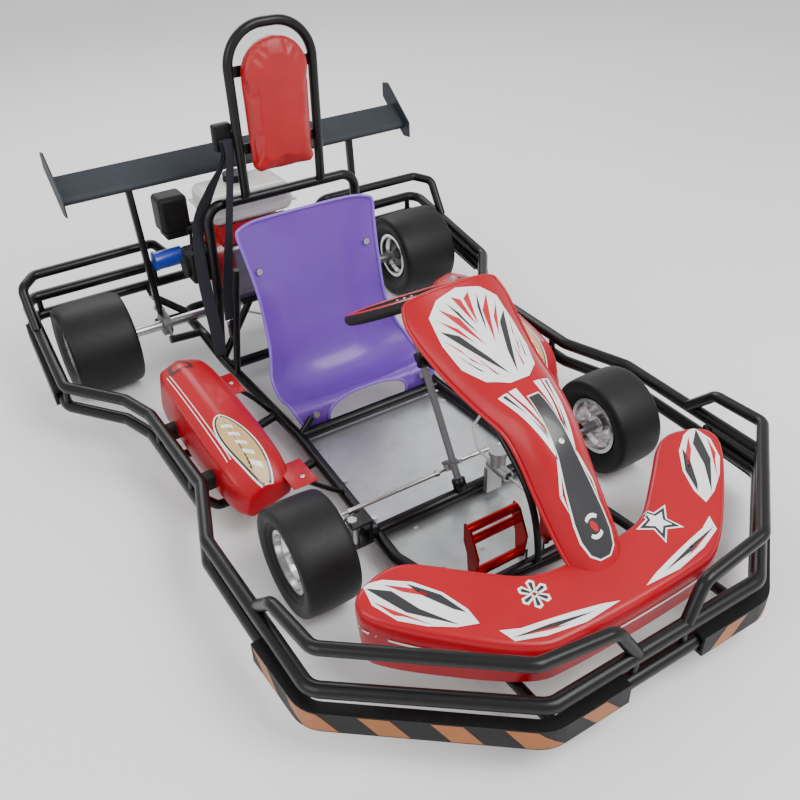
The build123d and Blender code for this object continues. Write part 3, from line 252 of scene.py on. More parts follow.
# Metals: colour, roughness from and to, stretch of the grain, its scale and depth, colour
# variation, grime.
tray_metal = metal("tray_metal", (0.5, 0.52, 0.53), (0.4, 0.58), (1, 0.06, 1), 260, 0.0001, 0.12, 0.2)
zinc = metal("zinc", (0.5, 0.51, 0.5), (0.24, 0.42), (0.1, 1, 1), 300, 0.0001, 0.12, 0.15)
rim_metal = metal("rim_metal", (0.78, 0.78, 0.78), (0.12, 0.28), (1, 1, 1), 500, 0.00005, 0.05, 0.05)
bolt_metal = metal("bolt_metal", (0.5, 0.5, 0.5), (0.25, 0.45), (1, 1, 1), 400, 0.0001, 0.15, 0.2)
disc_metal = metal("disc_metal", (0.56, 0.56, 0.57), (0.22, 0.4), (1, 1, 1), 260, 0.0001, 0.12, 0.2)
cast_metal = metal("cast_metal", (0.25, 0.25, 0.25), (0.45, 0.7), (1, 1, 1), 220, 0.0006, 0.2, 0.3)
alloy = metal("alloy", (0.42, 0.42, 0.42), (0.35, 0.6), (1, 1, 1), 180, 0.0005, 0.15, 0.25)
pedal_metal = metal("pedal_metal", (0.42, 0.008, 0.008), (0.25, 0.42), (0.15, 1, 1), 320, 0.0001, 0.15, 0.1)
chrome = metal("chrome", (0.8, 0.8, 0.8), (0.05, 0.14), (1, 1, 1), 300, 0.00002, 0.05, 0.0)
tyre_rubber = worn_rubber("tyre_rubber")
webbing_cloth = weave("webbing_cloth", (0.016, 0.018, 0.024), 260, (0.7, 0.9))
braid = weave("braid", (0.42, 0.43, 0.44), 420, (0.3, 0.5), 0.8)
column_metal = knurled("knurled")
pad_vinyl = grained("pad_vinyl", (0.37, 0.0012, 0.005))
grip_rubber = coated("grip_rubber", (0.006, 0.006, 0.006), (0.5, 0.7), 0.2, 380, 0.0008, 0.0, 0.03, 0.3)
decal_white = coated("decal_white", (0.9, 0.9, 0.9), (0.22, 0.32), 0.03, 300, 0.0001, 0.3)
decal_dark = coated("decal_dark", (0.018, 0.018, 0.021), (0.25, 0.35), 0.1, 300, 0.0001, 0.3)
decal_red = coated("decal_red", (0.5, 0.002, 0.01), (0.22, 0.32), 0.05, 300, 0.0001, 0.3)
decal_tan = coated("decal_tan", (0.62, 0.4, 0.16), (0.25, 0.4), 0.1, 300, 0.0001, 0.3)
orange_film = coated("orange_film", (0.27, 0.075, 0.001), (0.35, 0.5), 0.15, 500, 0.0002, 0.1, 0.15)

# The CAD nodes that each material covers. Those that are replaced below have one too.
finish = {
    black_paint: "bumper_upper_rail bumper_lower_rail bumper_loops bumper_stays chassis_frame "
    "column_support seat_back_bar headrest_hoop wing_struts body_stays chain_guard",
    guard_plastic: "bumper_guards",
    tray_metal: "floor_tray",
    bolt_metal: "tray_bolts seat_bolts kingpins",
    rim_metal: "front_rim_left front_rim_right rear_rims",
    tyre_rubber: "front_tyre_left front_tyre_right rear_tyres",
    zinc: "rear_axle spindle_left spindle_right tie_rod_left tie_rod_right pedal_shafts "
    "brake_rod drive_chain",
    disc_metal: "axle_sprocket brake_disc clutch_drum",
    alloy: "brake_caliper engine_block master_cylinder",
    cast_metal: "axle_bearings",
    column_metal: "steering_column",
    grip_rubber: "steering_wheel",
    pedal_metal: "throttle_pedal brake_pedal",
    braid: "brake_hose",
    seat_plastic: "seat_shell",
    pad_vinyl: "headrest_pad",
    black_plastic: "belt_guide belt_retractor starter_grip fuel_cap air_cleaner throttle_lever",
    webbing_cloth: "belt_webbing",
    wing_plastic: "wing_blade wing_endplates",
    red_plastic: "nose_fairing front_panel side_pod_left side_pod_right",
    shroud_paint: "engine_shroud",
    white_paint: "fuel_tank",
    blue_paint: "silencer",
}
for mat, names in finish.items():
    for name in names.split():
        mesh = nodes[name].data
        mesh.materials.clear()
        mesh.materials.append(mat)


# ---- mesh helpers -----------------------------------------------------------
def add_piece(name, mesh, mat, body="chassis"):
    """A smooth-shaded piece that rides on a body."""
    mesh.materials.append(mat)
    mesh.polygons.foreach_set("use_smooth", [True] * len(mesh.polygons))
    obj = bpy.data.objects.new(name, mesh)
    scene.collection.objects.link(obj)
    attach(obj, body)
    return obj


def add_bmesh(name, bm, mat, body="chassis"):
    mesh = bpy.data.meshes.new(name)
    bm.to_mesh(mesh)
    bm.free()
    return add_piece(name, mesh, mat, body)


def make_object(name, verts, faces, mat, body="chassis"):
    mesh = bpy.data.meshes.new(name)
    mesh.from_pydata([tuple(v) for v in verts], [], faces)
    mesh.validate()
    return add_piece(name, mesh, mat, body)


def bridge(bm, rings):
    """Faces between closed rings of vertices."""
    for low, high in zip(rings, rings[1:]):
        for k in range(len(low)):
            n = (k + 1) % len(low)
            bm.faces.new((low[k], low[n], high[n], high[k]))


def grid_object(name, rows, mat, body="chassis", close_rows=False):
    """Faces between rows of points in metres."""
    count = len(rows[0])
    verts = [p for row in rows for p in row]
    faces = []
    for i in range(len(rows) - 1):
        for j in range(count if close_rows else count - 1):
            k = (j + 1) % count
            faces.append((i * count + j, i * count + k, (i + 1) * count + k, (i + 1) * count + j))
    return make_object(name, verts, faces, mat, body)


def apply_modifiers(obj):
    bpy.context.view_layer.update()
    graph = bpy.context.evaluated_depsgraph_get()
    mesh = bpy.data.meshes.new_from_object(obj.evaluated_get(graph))
    obj.modifiers.clear()
    old = obj.data
    obj.data = mesh
    bpy.data.meshes.remove(old)


def thicken(obj, amount, offset):
    modifier = obj.modifiers.new("thick", "SOLIDIFY")
    modifier.thickness = amount
    modifier.offset = offset
    apply_modifiers(obj)


def lathe(name, profile, centre, direction, mat, segments, body="chassis"):
    """A turned shape. profile: (distance along direction, radius) in mm."""
    direction = Vector(direction).normalized()
    side = direction.orthogonal().normalized()
    up = direction.cross(side)
    rows = []
    for along, radius in profile:
        row = []
        for k in range(segments):
            turn = 2 * math.pi * k / segments
            spoke = side * math.cos(turn) + up * math.sin(turn)
            row.append((Vector(centre) + direction * along + spoke * radius) * MM)
        rows.append(row)
    return grid_object(name, rows, mat, body, close_rows=True)


def tube(name, points, radius, mat, closed=False):
    """A round bar along points in mm."""
    curve = bpy.data.curves.new(name, "CURVE")
    curve.dimensions = "3D"
    curve.bevel_depth = radius * MM
    curve.bevel_resolution = 5
    spline = curve.splines.new("NURBS")
    spline.points.add(len(points) - 1)
    for point, place in zip(spline.points, points):
        point.co = (*(Vector(place) * MM), 1)
    spline.order_u = 3
    spline.use_endpoint_u = not closed
    spline.use_cyclic_u = closed
    spline.resolution_u = 6
    curve.use_fill_caps = not closed
    holder = bpy.data.objects.new(name, curve)
    scene.collection.objects.link(holder)
    bpy.context.view_layer.update()
    graph = bpy.context.evaluated_depsgraph_get()
    mesh = bpy.data.meshes.new_from_object(holder.evaluated_get(graph))
    bpy.data.objects.remove(holder)
    mesh.materials.clear()
    return add_piece(name, mesh, mat)


def smooth_values(stations, steps):
    """Catmull-Rom rows between stations of numbers."""
    out = []
    last = len(stations) - 1
    for i in range(last):
        p = [stations[max(0, min(last, k))] for k in (i - 1, i, i + 1, i + 2)]
        for j in range(steps):
            t = j / steps
            row = []
            for a, b, c, d in zip(*p):
                square = (2 * a - 5 * b + 4 * c - d) * t * t
                row.append(0.5 * (2 * b + (c - a) * t + square + (3 * b - a - 3 * c + d) * t**3))
            out.append(row)
    out.append(list(stations[-1]))
    return out


def tree_of(obj):
    bm = bmesh.new()
    bm.from_mesh(obj.data)
    tree = BVHTree.FromBMesh(bm)
    bm.free()
    return tree


def filled(points, step):
    """Triangles that fill a flat outline, cut on a grid so that they can bend."""
    bm = bmesh.new()
    bm.faces.new([bm.verts.new((x, y, 0)) for x, y in points])
    for axis in (0, 1):
        low = min(p[axis] for p in points)
        high = max(p[axis] for p in points)
        place = low + step
        while place < high:
            normal = (1, 0, 0) if axis == 0 else (0, 1, 0)
            spot = (place, 0, 0) if axis == 0 else (0, place, 0)
            everything = bm.verts[:] + bm.edges[:] + bm.faces[:]
            bmesh.ops.bisect_plane(bm, geom=everything, plane_co=spot, plane_no=normal)
            place += step
    bmesh.ops.triangulate(bm, faces=bm.faces[:])
    bm.verts.index_update()
    verts = [tuple(v.co) for v in bm.verts]
    faces = [tuple(v.index for v in f.verts) for f in bm.faces]
    bm.free()
    return verts, faces


def decal(name, outlines, place, mat):
    """Flat outlines laid on a surface by place(x, y), without the parts that miss it."""
    verts = []
    faces = []
    for points in outlines:
        flat, tris = filled(points, DECAL_STEP)
        spots = [place(x, y) for x, y, _ in flat]
        start = len(verts)
        verts += [p if p is not None else Vector((0, 0, 0)) for p in spots]
        faces += [tuple(start + i for i in t) for t in tris if all(spots[i] is not None for i in t)]
    return make_object(name, verts, faces, mat)


def mirrored(outlines):
    return outlines + [[(-x, y) for x, y in reversed(points)] for points in outlines]


def turned(points, centre, turn):
    cos, sin = math.cos(turn), math.sin(turn)
    return [(centre[0] + x * cos - y * sin, centre[1] + x * sin + y * cos) for x, y in points]


def ellipse(cx, cy, rx, ry, turn=0.0):
    turns = [2 * math.pi * k / 40 for k in range(40)]
    return turned([(rx * math.cos(t), ry * math.sin(t)) for t in turns], (cx, cy), turn)


def between(rows, i, t):
    return [a + (b - a) * t for a, b in zip(rows[i], rows[i + 1])]


def run_at(lengths, along):
    """Which run of a line holds a distance along it, and how far into that run it is."""
    i = 0
    while i < len(lengths) - 2 and lengths[i + 1] < along:
        i += 1
    return i, (along - lengths[i]) / (lengths[i + 1] - lengths[i])


def shell_point(values, share, lift=0.0):
    """A point across a curved sheet. values: y and z of its middle line, its normal's y and z,
    its half width, and how far its edges rise along the normal, in mm."""
    y, z, ny, nz, half, rise = values
    size = math.hypot(ny, nz)
    height = rise * abs(share) ** 3 + lift
    return Vector((share * half, y + height * ny / size, z + height * nz / size)) * MM


# ---- steering panel ---------------------------------------------------------
# Stations of shell_point's values, from the nose up to the steering wheel.
panel_stations = [
    (-812, 205, -0.9, 0.42, 46, -14),
    (-784, 248, -0.87, 0.5, 66, -32),
    (-698, 354, -0.78, 0.62, 74, -42),
    (-636, 432, -0.72, 0.7, 78, -44),
    (-580, 476, -0.6, 0.8, 84, -42),
    (-516, 500, -0.3, 0.95, 96, -42),
    (-433, 527, -0.3, 0.95, 110, -42),
    (-356, 562, -0.4, 0.92, 124, -38),
    (-298, 596, -0.5, 0.87, 131, -32),
    (-264, 620, -0.5, 0.87, 118, -24),
]
panel_rows = smooth_values(panel_stations, 6)
panel_length = [0.0]
for before, after in zip(panel_rows, panel_rows[1:]):
    panel_length.append(panel_length[-1] + math.hypot(after[0] - before[0], after[1] - before[1]))


def on_panel(lift=0.7):
    """Places a point by its distances across the panel and along its middle."""

    def place(x, along):
        values = between(panel_rows, *run_at(panel_length, along))
        return shell_point(values, x / values[4], lift)

    return place


shares = [-1 + k / 16 for k in range(33)]
panel_grid = [[shell_point(v, s, -0.5) for s in shares] for v in panel_rows]
panel = grid_object("steering_panel", panel_grid, red_plastic)
thicken(panel, 3.4 * MM, 1.0 if panel.data.polygons[0].normal.z < 0 else -1.0)
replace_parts(panel, "front_panel")
panel_edge = [shell_point(v, -1, -2) / MM for v in panel_rows[::3]]
panel_edge += [shell_point(panel_rows[-1], s, -2) / MM for s in shares[4::4]]
panel_edge += [shell_point(v, 1, -2) / MM for v in panel_rows[-4::-3]]
panel_edge += [shell_point(panel_rows[0], s, -2) / MM for s in shares[-5::-4]]
tube("panel_rim", panel_edge, 4.2, red_plastic, closed=True)

# The panel's decals have points (across, along). The mirrored ones are of its left half.
shield = [(-88, 655), (-56, 684), (0, 697), (56, 684), (88, 655), (92, 590), (85, 525), (62, 472)]
shield += [(24, 444), (-24, 444), (-62, 472), (-85, 525), (-92, 590)]
decal("panel_shield", [shield], on_panel(), decal_white)
shards_red = [
    [(-74, 640), (-30, 560), (-46, 606)],
    [(-62, 664), (-12, 548), (-30, 628)],
    [(-86, 600), (-44, 500), (-60, 530), (-66, 560)],
    [(-50, 540), (-30, 470), (-36, 478)],
    [(-22, 680), (-2, 600), (-4, 668)],
]
shards_dark = [
    [(-82, 618), (-36, 520), (-8, 462), (-24, 520), (-52, 590)],
    [(-80, 560), (-58, 500), (-52, 492)],
    [(-40, 672), (-18, 600), (-10, 580), (-24, 640)],
]
tongue_white = [
    [(-64, 428), (-44, 428), (-20, 300), (-24, 262)],
    [(-40, 428), (-22, 428), (-19, 330), (-24, 350)],
    [(-38, 150), (-44, 190), (-25, 262), (-22, 250), (-38, 192)],
]
tongue_dark = [[(-56, 424), (-50, 424), (-24, 300), (-24, 320)]]
decal("panel_shards_red", mirrored(shards_red), on_panel(1.1), decal_red)
decal("panel_shards_dark", mirrored(shards_dark), on_panel(1.2), decal_dark)
decal("tongue_white", mirrored(tongue_white), on_panel(), decal_white)
decal("tongue_dark", mirrored(tongue_dark), on_panel(1.1), decal_dark)
core = [(-13, 398), (13, 398), (17, 330), (20, 262), (30, 190), (36, 130), (36, 92), (28, 62)]
core += [(12, 48), (-12, 48), (-28, 62), (-36, 92), (-36, 130), (-30, 190), (-20, 262), (-17, 330)]
core_edge = [(x * 1.12, 222 + (t - 222) * 1.02) for x, t in core]
decal("tongue_core_edge", [core_edge], on_panel(), decal_white)
decal("tongue_core", [core], on_panel(1.2), decal_dark)
crescents = [
    ellipse(0, 118, 19, 20)[4:17] + ellipse(0, 114, 15, 15)[16:4:-1],
    ellipse(0, 106, 19, 20)[24:37] + ellipse(0, 110, 15, 15)[36:24:-1],
]
decal("tongue_ring", crescents, on_panel(1.7), decal_white)
decal("tongue_dot", [ellipse(0, 112, 7, 13, 0.4)], on_panel(1.7), decal_red)
panel_screw = [(0, 0.2), (0, 7), (2.4, 6), (3, 3.4), (1.6, 3), (1.6, 0.2)]
lathe("panel_screw", panel_screw, on_panel(0)(0, 290) / MM, (0, -0.72, 0.7), chrome, 24)

# ---- nose -------------------------------------------------------------------
nose_half = [(0, -888), (130, -886), (241, -878), (478, -668), (470, -604), (356, -574)]
nose_half += [(235, -672), (150, -735), (76, -747)]
NOSE_FRONT, NOSE_UNDERSIDE = -888, 109


def chaikin(points, rounds):
    """A closed outline with its corners cut off, again and again."""
    for _ in range(rounds):
        out = []
        for a, b in zip(points, points[1:] + points[:1]):
            out.append((0.78 * a[0] + 0.22 * b[0], 0.78 * a[1] + 0.22 * b[1]))
            out.append((0.22 * a[0] + 0.78 * b[0], 0.22 * a[1] + 0.78 * b[1]))
        points = out
    return points


def nose_top(y):
    return 213 + 0.168 * (y - NOSE_FRONT)


nose_plan = nose_half + [(-x, y) for x, y in reversed(nose_half[1:])]
nose_ring = chaikin(nose_plan, 3)


def shrunk(points, amount):
    """The outline moved inwards by amount."""
    out = []
    count = len(points)
    for i in range(count):
        a = Vector(points[i - 1])
        b = Vector(points[(i + 1) % count])
        along = (b - a).normalized()
        out.append((points[i][0] - along.y * amount, points[i][1] + along.x * amount))
    return out


nose_bm = bmesh.new()
rings = []
# Each ring's distance inside the outline and below the top. None is the flat underside.
for inset, drop in ((9, None), (2, 62), (0, 30), (0, 16), (1.5, 8), (5, 2.6), (10, 0.4), (13, 0)):
    ring = []
    for x, y in shrunk(nose_ring, inset):
        height = NOSE_UNDERSIDE if drop is None else nose_top(y) - drop - 0.4
        ring.append(nose_bm.verts.new((x * MM, y * MM, height * MM)))
    rings.append(ring)
bridge(nose_bm, rings)
for triple in tessellate_polygon([[Vector((v.co.x, v.co.y, 0)) for v in rings[-1]]]):
    nose_bm.faces.new([rings[-1][i] for i in triple])
bmesh.ops.recalc_face_normals(nose_bm, faces=nose_bm.faces[:])
nose = add_bmesh("nose_shell", nose_bm, red_plastic)
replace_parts(nose, "nose_fairing")
nose_tree = tree_of(nose)


def drop_on(tree, lift=0.8):
    """Places a point on the surface below it."""

    def place(x, y):
        hit = tree.ray_cast(Vector((x * MM, y * MM, 1.0)), Vector((0, 0, -1)))[0]
        return None if hit is None else hit + Vector((0, 0, lift * MM))

    return place


leaf_turn = math.atan2(-170, -141)
leaf_place = (368, -690)
leaf = [(-116, -2), (-84, 34), (-30, 48), (24, 40), (76, 22), (112, 0), (84, -22), (30, -40)]
leaf += [(-30, -42), (-84, -26)]
leaf_dark = [
    [(-108, 4), (-70, 14), (-20, 26), (80, 16), (0, 10), (-60, -8)],
    [(-40, -34), (-4, -20), (60, -12), (84, -14), (28, -34)],
]
leaf_red = [
    [(-86, 26), (-50, 30), (36, 34), (-20, 36), (-40, 40)],
    [(-80, -16), (-40, -14), (30, -26), (-24, -28)],
]
for name, shapes, lift, mat in (
    ("nose_leaves", [leaf], 0.8, decal_white),
    ("nose_leaves_dark", leaf_dark, 1.3, decal_dark),
    ("nose_leaves_red", leaf_red, 1.3, decal_red),
):
    placed = [turned(points, leaf_place, leaf_turn) for points in shapes]
    decal(name, mirrored(placed), drop_on(nose_tree, lift), mat)
crescent = [(274, -806), (262, -838), (204, -858), (120, -872), (34, -868), (70, -856)]
crescent += [(130, -842), (190, -830), (236, -822)]
crescent_dark = [(262, -830), (196, -850), (90, -862), (180, -842)]
crescent_red = [(240, -836), (190, -852), (150, -860), (196, -846)]
decal("nose_crescents", mirrored([crescent]), drop_on(nose_tree), decal_white)
decal("nose_crescents_dark", mirrored([crescent_dark]), drop_on(nose_tree, 1.3), decal_dark)
decal("nose_crescents_red", mirrored([crescent_red]), drop_on(nose_tree, 1.5), decal_red)


def spokes(bar):
    """Six copies of a bar around the asterisk's centre."""
    sixths = [turned(bar, (0, 0), k * math.pi / 3) for k in range(6)]
    return [turned(points, (-168, -776), 0.2) for points in sixths]


bar_edge = [(4, -5), (27, -9), (33, 0), (27, 9), (4, 5)]
bar_core = [(8, -2), (24, -4), (27, 0), (24, 4), (8, 2)]
decal("nose_asterisk", spokes(bar_edge), drop_on(nose_tree), decal_white)
decal("nose_asterisk_core", spokes(bar_core), drop_on(nose_tree, 1.3), decal_dark)


def star(reach, inner):
    out = []
    for k in range(10):
        radius = reach if k % 2 == 0 else inner
        out.append((radius * math.cos(k * math.pi / 5), radius * math.sin(k * math.pi / 5)))
    return [turned(out, (166, -764), 0.5)]


decal("nose_star", star(54, 24), drop_on(nose_tree), decal_white)
decal("nose_star_dark", star(45, 20), drop_on(nose_tree, 1.3), decal_dark)
decal("nose_star_core", star(30, 14), drop_on(nose_tree, 1.8), decal_white)
stripe_rows = []
outline = [(x, y) for x, y in shrunk(nose_ring, -1.2) if y < -640 and (abs(x) > 240 or y < -800)]
outline.sort(key=lambda p: math.atan2(p[1] + 640, p[0]))
for low in (0, 5):
    stripe_rows.append([Vector((x, y, nose_top(y) - 48 + low)) * MM for x, y in outline])
grid_object("nose_pinstripe", stripe_rows, decal_white)

# ---- side pods --------------------------------------------------------------
# y, then the corners (x, z) of the left pod's section there.
pod_sections = [
    (-110, [(366, 102), (462, 74), (478, 90), (464, 128), (430, 146), (366, 138)]),
    (-84, [(346, 90), (478, 66), (498, 92), (484, 156), (436, 178), (356, 168)]),
    (-40, [(338, 84), (486, 62), (508, 106), (496, 186), (440, 210), (354, 196)]),
    (60, [(336, 82), (489, 61), (513, 114), (499, 204), (440, 228), (355, 212)]),
    (180, [(339, 82), (490, 61), (515, 122), (500, 220), (441, 243), (358, 228)]),
    (330, [(345, 84), (488, 62), (514, 126), (500, 232), (444, 256), (364, 240)]),
    (382, [(358, 92), (482, 68), (506, 128), (492, 228), (442, 250), (374, 234)]),
    (396, [(378, 106), (470, 82), (490, 130), (480, 214), (438, 234), (390, 218)]),
]
pods = {}
for side, sign in SIDES:
    bm = bmesh.new()
    loops = []
    for y, outline in pod_sections:
        middle = Vector((sum(p[0] for p in outline) / 6, sum(p[1] for p in outline) / 6))
        loop = []
        for x, z in outline:
            # The subdivision pulls the outline in by about this much.
            grown = middle + (Vector((x, z)) - middle) * 1.03
            loop.append(bm.verts.new((sign * grown.x * MM, y * MM, grown.y * MM)))
        loops.append(loop)
    bridge(bm, loops)
    bm.faces.new(loops[0])
    bm.faces.new(loops[-1])
    # Creased long edges and end edges keep the pod's flats under the subdivision.
    crease = bm.edges.layers.float.new("crease_edge")
    for low, high in zip(loops, loops[1:]):
        for k in range(6):
            bm.edges.get((low[k], high[k]))[crease] = 0.62 if k in (0, 1, 3, 4) else 0.35
    for loop in (loops[0], loops[-1]):
        for k in range(6):
            bm.edges.get((loop[k], loop[(k + 1) % 6]))[crease] = 0.7
    bmesh.ops.recalc_face_normals(bm, faces=bm.faces[:])
    pod = add_bmesh("pod_shell_" + side, bm, red_plastic)
    modifier = pod.modifiers.new("round", "SUBSURF")
    modifier.levels = 3
    modifier.render_levels = 3
    apply_modifiers(pod)
    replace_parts(pod, "side_pod_" + side)
    pods[side] = tree_of(pod)


def rounded_block(name, corner, opposite, mat, bevel):
    """An upright block with rounded edges, between two opposite corners in mm."""
    bm = bmesh.new()
    bmesh.ops.create_cube(bm, size=1)
    spans = [sorted(pair) for pair in zip(corner, opposite)]
    for v in bm.verts:
        spot = [(low + high) / 2 + at * (high - low) for at, (low, high) in zip(v.co, spans)]
        v.co = Vector(spot) * MM
    bmesh.ops.bevel(bm, geom=bm.edges[:], offset=bevel * MM, segments=3, affect="EDGES", profile=0.5)
    return add_bmesh(name, bm, mat)


pod_screw = [(0, 0.2), (0, 6.5), (2.2, 5.6), (2.8, 3), (1.6, 2.6), (1.6, 0.2)]
BADGE_X, BADGE_Y, BADGE_LEAN = 430, -6, -0.14
for side, sign in SIDES:
    tree = pods[side]
    for end, low, high in (
        ("front_", (309, -160, 147.5), (374, -62, 152)),
        ("rear_", (320, 216, 195.5), (374, 316, 200)),
    ):
        low, high = ((sign * x, y, z) for x, y, z in (low, high))
        rounded_block("pod_tab_" + end + side, low, high, red_plastic, 2)
    for x, y, z in ((336, -130, 152), (340, 266, 200)):
        lathe(f"pod_screw_{side}_{z}", pod_screw, (sign * x, y, z), (0, 0, 1), chrome, 20)

    def flipped(points):
        return [(sign * x, y) for x, y in points]

    for name, wide, long, lift, mat in (
        ("badge_border_", 38, 112, 0.8, decal_white),
        ("badge_dark_", 34, 107, 1.2, decal_dark),
        ("badge_tan_", 30, 101, 1.6, decal_tan),
    ):
        oval = ellipse(BADGE_X, BADGE_Y, wide, long, BADGE_LEAN)
        decal(name + side, [flipped(oval)], drop_on(tree, lift), mat)
    slash = [(-14, -9), (12, -1), (14, 11), (-12, 3)]
    slashes = [flipped(turned(slash, (BADGE_X + k * 4, BADGE_Y + k * 31), 0.2)) for k in range(-2, 3)]
    decal("badge_marks_" + side, slashes, drop_on(tree, 2.0), decal_white)
    box_mark = [flipped([(415, 322), (478, 326), (474, 362), (420, 360)])]
    box_core = [flipped([(424, 330), (468, 333), (465, 354), (427, 353)])]
    decal("pod_box_mark_" + side, box_mark, drop_on(tree, 0.8), decal_dark)
    decal("pod_box_core_" + side, box_core, drop_on(tree, 1.2), decal_red)
    pins = []
    for x0, x1 in ((480, 470), (488, 479)):
        pins.append(flipped([(x0 - 1, 330), (x0 + 1, 330), (x1 + 1, -30), (x1 - 1, -30)]))
    decal("pod_pinstripes_" + side, pins, drop_on(tree, 0.8), decal_white)
    # Rubber buffers between the pod and the perimeter rail.
    for index, y in enumerate((10, 250)):
        low, high = (sign * 492, y - 16, 108), (sign * 538, y + 16, 150)
        rounded_block(f"pod_buffer_{side}_{index}", low, high, grip_rubber, 7)

# ---- seat -------------------------------------------------------------------
# Stations of shell_point's values, from the front lip over the seat to the top edge.
seat_stations = [
    (140, 62, -1, 0.05, 188, 2),
    (136, 92, -0.95, 0.2, 208, 2),
    (140, 118, -0.8, 0.6, 219, 2),
    (165, 127, 0.05, 1, 224, 8),
    (215, 96, 0.3, 0.95, 224, 34),
    (290, 84, -0.1, 1, 218, 75),
    (350, 130, -0.6, 0.8, 205, 72),
    (392, 240, -0.95, 0.3, 190, 52),
    (425, 360, -0.96, 0.28, 190, 52),
    (447, 460, -0.97, 0.25, 200, 40),
    (455, 520, -0.98, 0.2, 207, 30),
    (457, 543, -0.98, 0.2, 196, 26),
]
seat_rows = smooth_values(seat_stations, 7)
ARCH_HALF, ARCH_LEVELS = 132, 17.5


def seat_start(share):
    """How far up the front lip the shell begins: an arch between two lobes."""
    x = abs(share) * 205
    if x > ARCH_HALF:
        return 0.0
    return ARCH_LEVELS * math.sqrt(max(0.0, 1 - (x / ARCH_HALF) ** 2.6))


def seat_at(level, share):
    i = min(len(seat_rows) - 2, int(level))
    return shell_point(between(seat_rows, i, level - i), share)


seat_columns = 64
seat_levels = 110
seat_grid = []
seat_top_level = len(seat_rows) - 1.0
for i in range(seat_levels + 1):
    row = []
    for j in range(seat_columns + 1):
        share = -1 + 2 * j / seat_columns
        begin = seat_start(share)
        # The top corners are rounded off.
        end = seat_top_level - 5.0 * max(0.0, abs(share) - 0.72) ** 2 / 0.08
        level = begin + (end - begin) * i / seat_levels
        row.append(seat_at(level, share))
    seat_grid.append(row)
seat = grid_object("seat_bucket", seat_grid, seat_plastic)
facing = seat.data.polygons[(seat_levels // 2) * seat_columns + seat_columns // 2].normal
thicken(seat, 4.4 * MM, -1.0 if facing.z > 0 or facing.y < 0 else 1.0)
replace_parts(seat, "seat_shell")
loop = list(seat_grid[0])
loop += [seat_grid[i][-1] for i in range(2, seat_levels, 2)]
loop += [seat_grid[-1][j] for j in range(seat_columns, -1, -1)]
loop += [seat_grid[i][0] for i in range(seat_levels - 2, 0, -2)]
# The rim tube takes the lighter purple, which is a painted highlight.
tube("seat_rolled_rim", [p / MM for p in loop], 4.4, seat_rim_painted_highlight, closed=True)

# ---- column support, stays and wing struts ----------------------------------
rake = math.radians(29.8)
column = Vector((0, math.sin(rake), math.cos(rake)))
column_foot = Vector((0, -306, 75))
foot_cup = [(-2, 10.2), (-2, 17), (28, 17), (30, 15), (30, 10.2)]
cup = lathe("column_foot_cup", foot_cup, column_foot, column, black_paint, 40)
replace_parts(cup, "column_support")
collar = [(0, 9.9), (0, 15.5), (1.5, 17), (20.5, 17), (22, 15.5), (22, 9.9)]
lathe("column_collar", collar, column_foot + column * 330, column, black_paint, 40)
_, y, z = column_foot + column * 341
brace = [(0, y - 15, z - 6), (0, -300, 392), (0, -460, 330), (0, -590, 210), (0, -598, 76)]
tube("column_brace", brace, 8, black_paint)
rounded_block("column_clamp", (-22, y - 26, z - 15), (22, y - 12, z + 17), black_paint, 3)
stays = []
stay_routes = [
    [(244, -150, 74), (280, -150, 100), (330, -150, 147)],
    [(243, 270, 70), (280, 268, 130), (340, 266, 193)],
    [(40, -748, 258), (60, -650, 130), (90, -598, 68)],
]
for side, sign in SIDES:
    for index, route in enumerate(stay_routes):
        points = [(sign * x, y, z) for x, y, z in route]
        stays.append(tube(f"stay_{side}_{index}", points, 6.5, black_paint))
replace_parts(stays[0], "body_stays")

strut_bolt = [(0, 0.2), (0, 7), (4, 7), (5, 5.5), (5, 0.2)]
struts = []
for side, sign in SIDES:
    bm = bmesh.new()
    ends = []
    for x, y, z in ((361, 829, 572), (352.3, 786, 177)):
        loop = [(x - 9, y - 11), (x - 9, y + 11), (x + 9, y + 11), (x + 9, y - 11)]
        ends.append([bm.verts.new((sign * a * MM, b * MM, z * MM)) for a, b in loop])
    bridge(bm, ends)
    bm.faces.new(ends[0])
    bm.faces.new(ends[1])
    bmesh.ops.recalc_face_normals(bm, faces=bm.faces[:])
    bmesh.ops.bevel(bm, geom=bm.edges[:], offset=2.5 * MM, segments=2, affect="EDGES", profile=0.5)
    struts.append(add_bmesh("wing_strut_" + side, bm, black_paint))
    for height in (196, 230):
        rise = height - 177
        spot = (sign * (362.5 + rise * 0.022), 788 + rise * 0.109, height)
        lathe(f"strut_bolt_{side}_{height}", strut_bolt, spot, (sign, 0, 0), bolt_metal, 6)
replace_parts(struts[0], "wing_struts")

# ---- bumper guards' hazard stripes -----------------------------------------
guard_route = [(96, -955), (273, -955), (611, -682), (620, -500)]
GUARD_HALF_DEPTH, GUARD_MIDDLE = 23, 105


def rounded_route(points, radius):
    """A flat route with its corners turned into arcs."""
    out = [Vector(points[0])]
    for a, b, c in zip(points, points[1:], points[2:]):
        a, b, c = Vector(a), Vector(b), Vector(c)
        back = (a - b).normalized()
        on = (c - b).normalized()
        half = back.angle(on) / 2
        cut = radius / math.tan(half)
        centre = b + (back + on).normalized() * (radius / math.sin(half))
        first = b + back * cut
        last = b + on * cut
        for k in range(11):
            spot = first.lerp(last, k / 10) - centre
            out.append(centre + spot.normalized() * radius)
    out.append(Vector(points[-1]))
    return out


guard_line = rounded_route(guard_route, 60)
guard_length = [0.0]
for before, after in zip(guard_line, guard_line[1:]):
    guard_length.append(guard_length[-1] + (after - before).length)


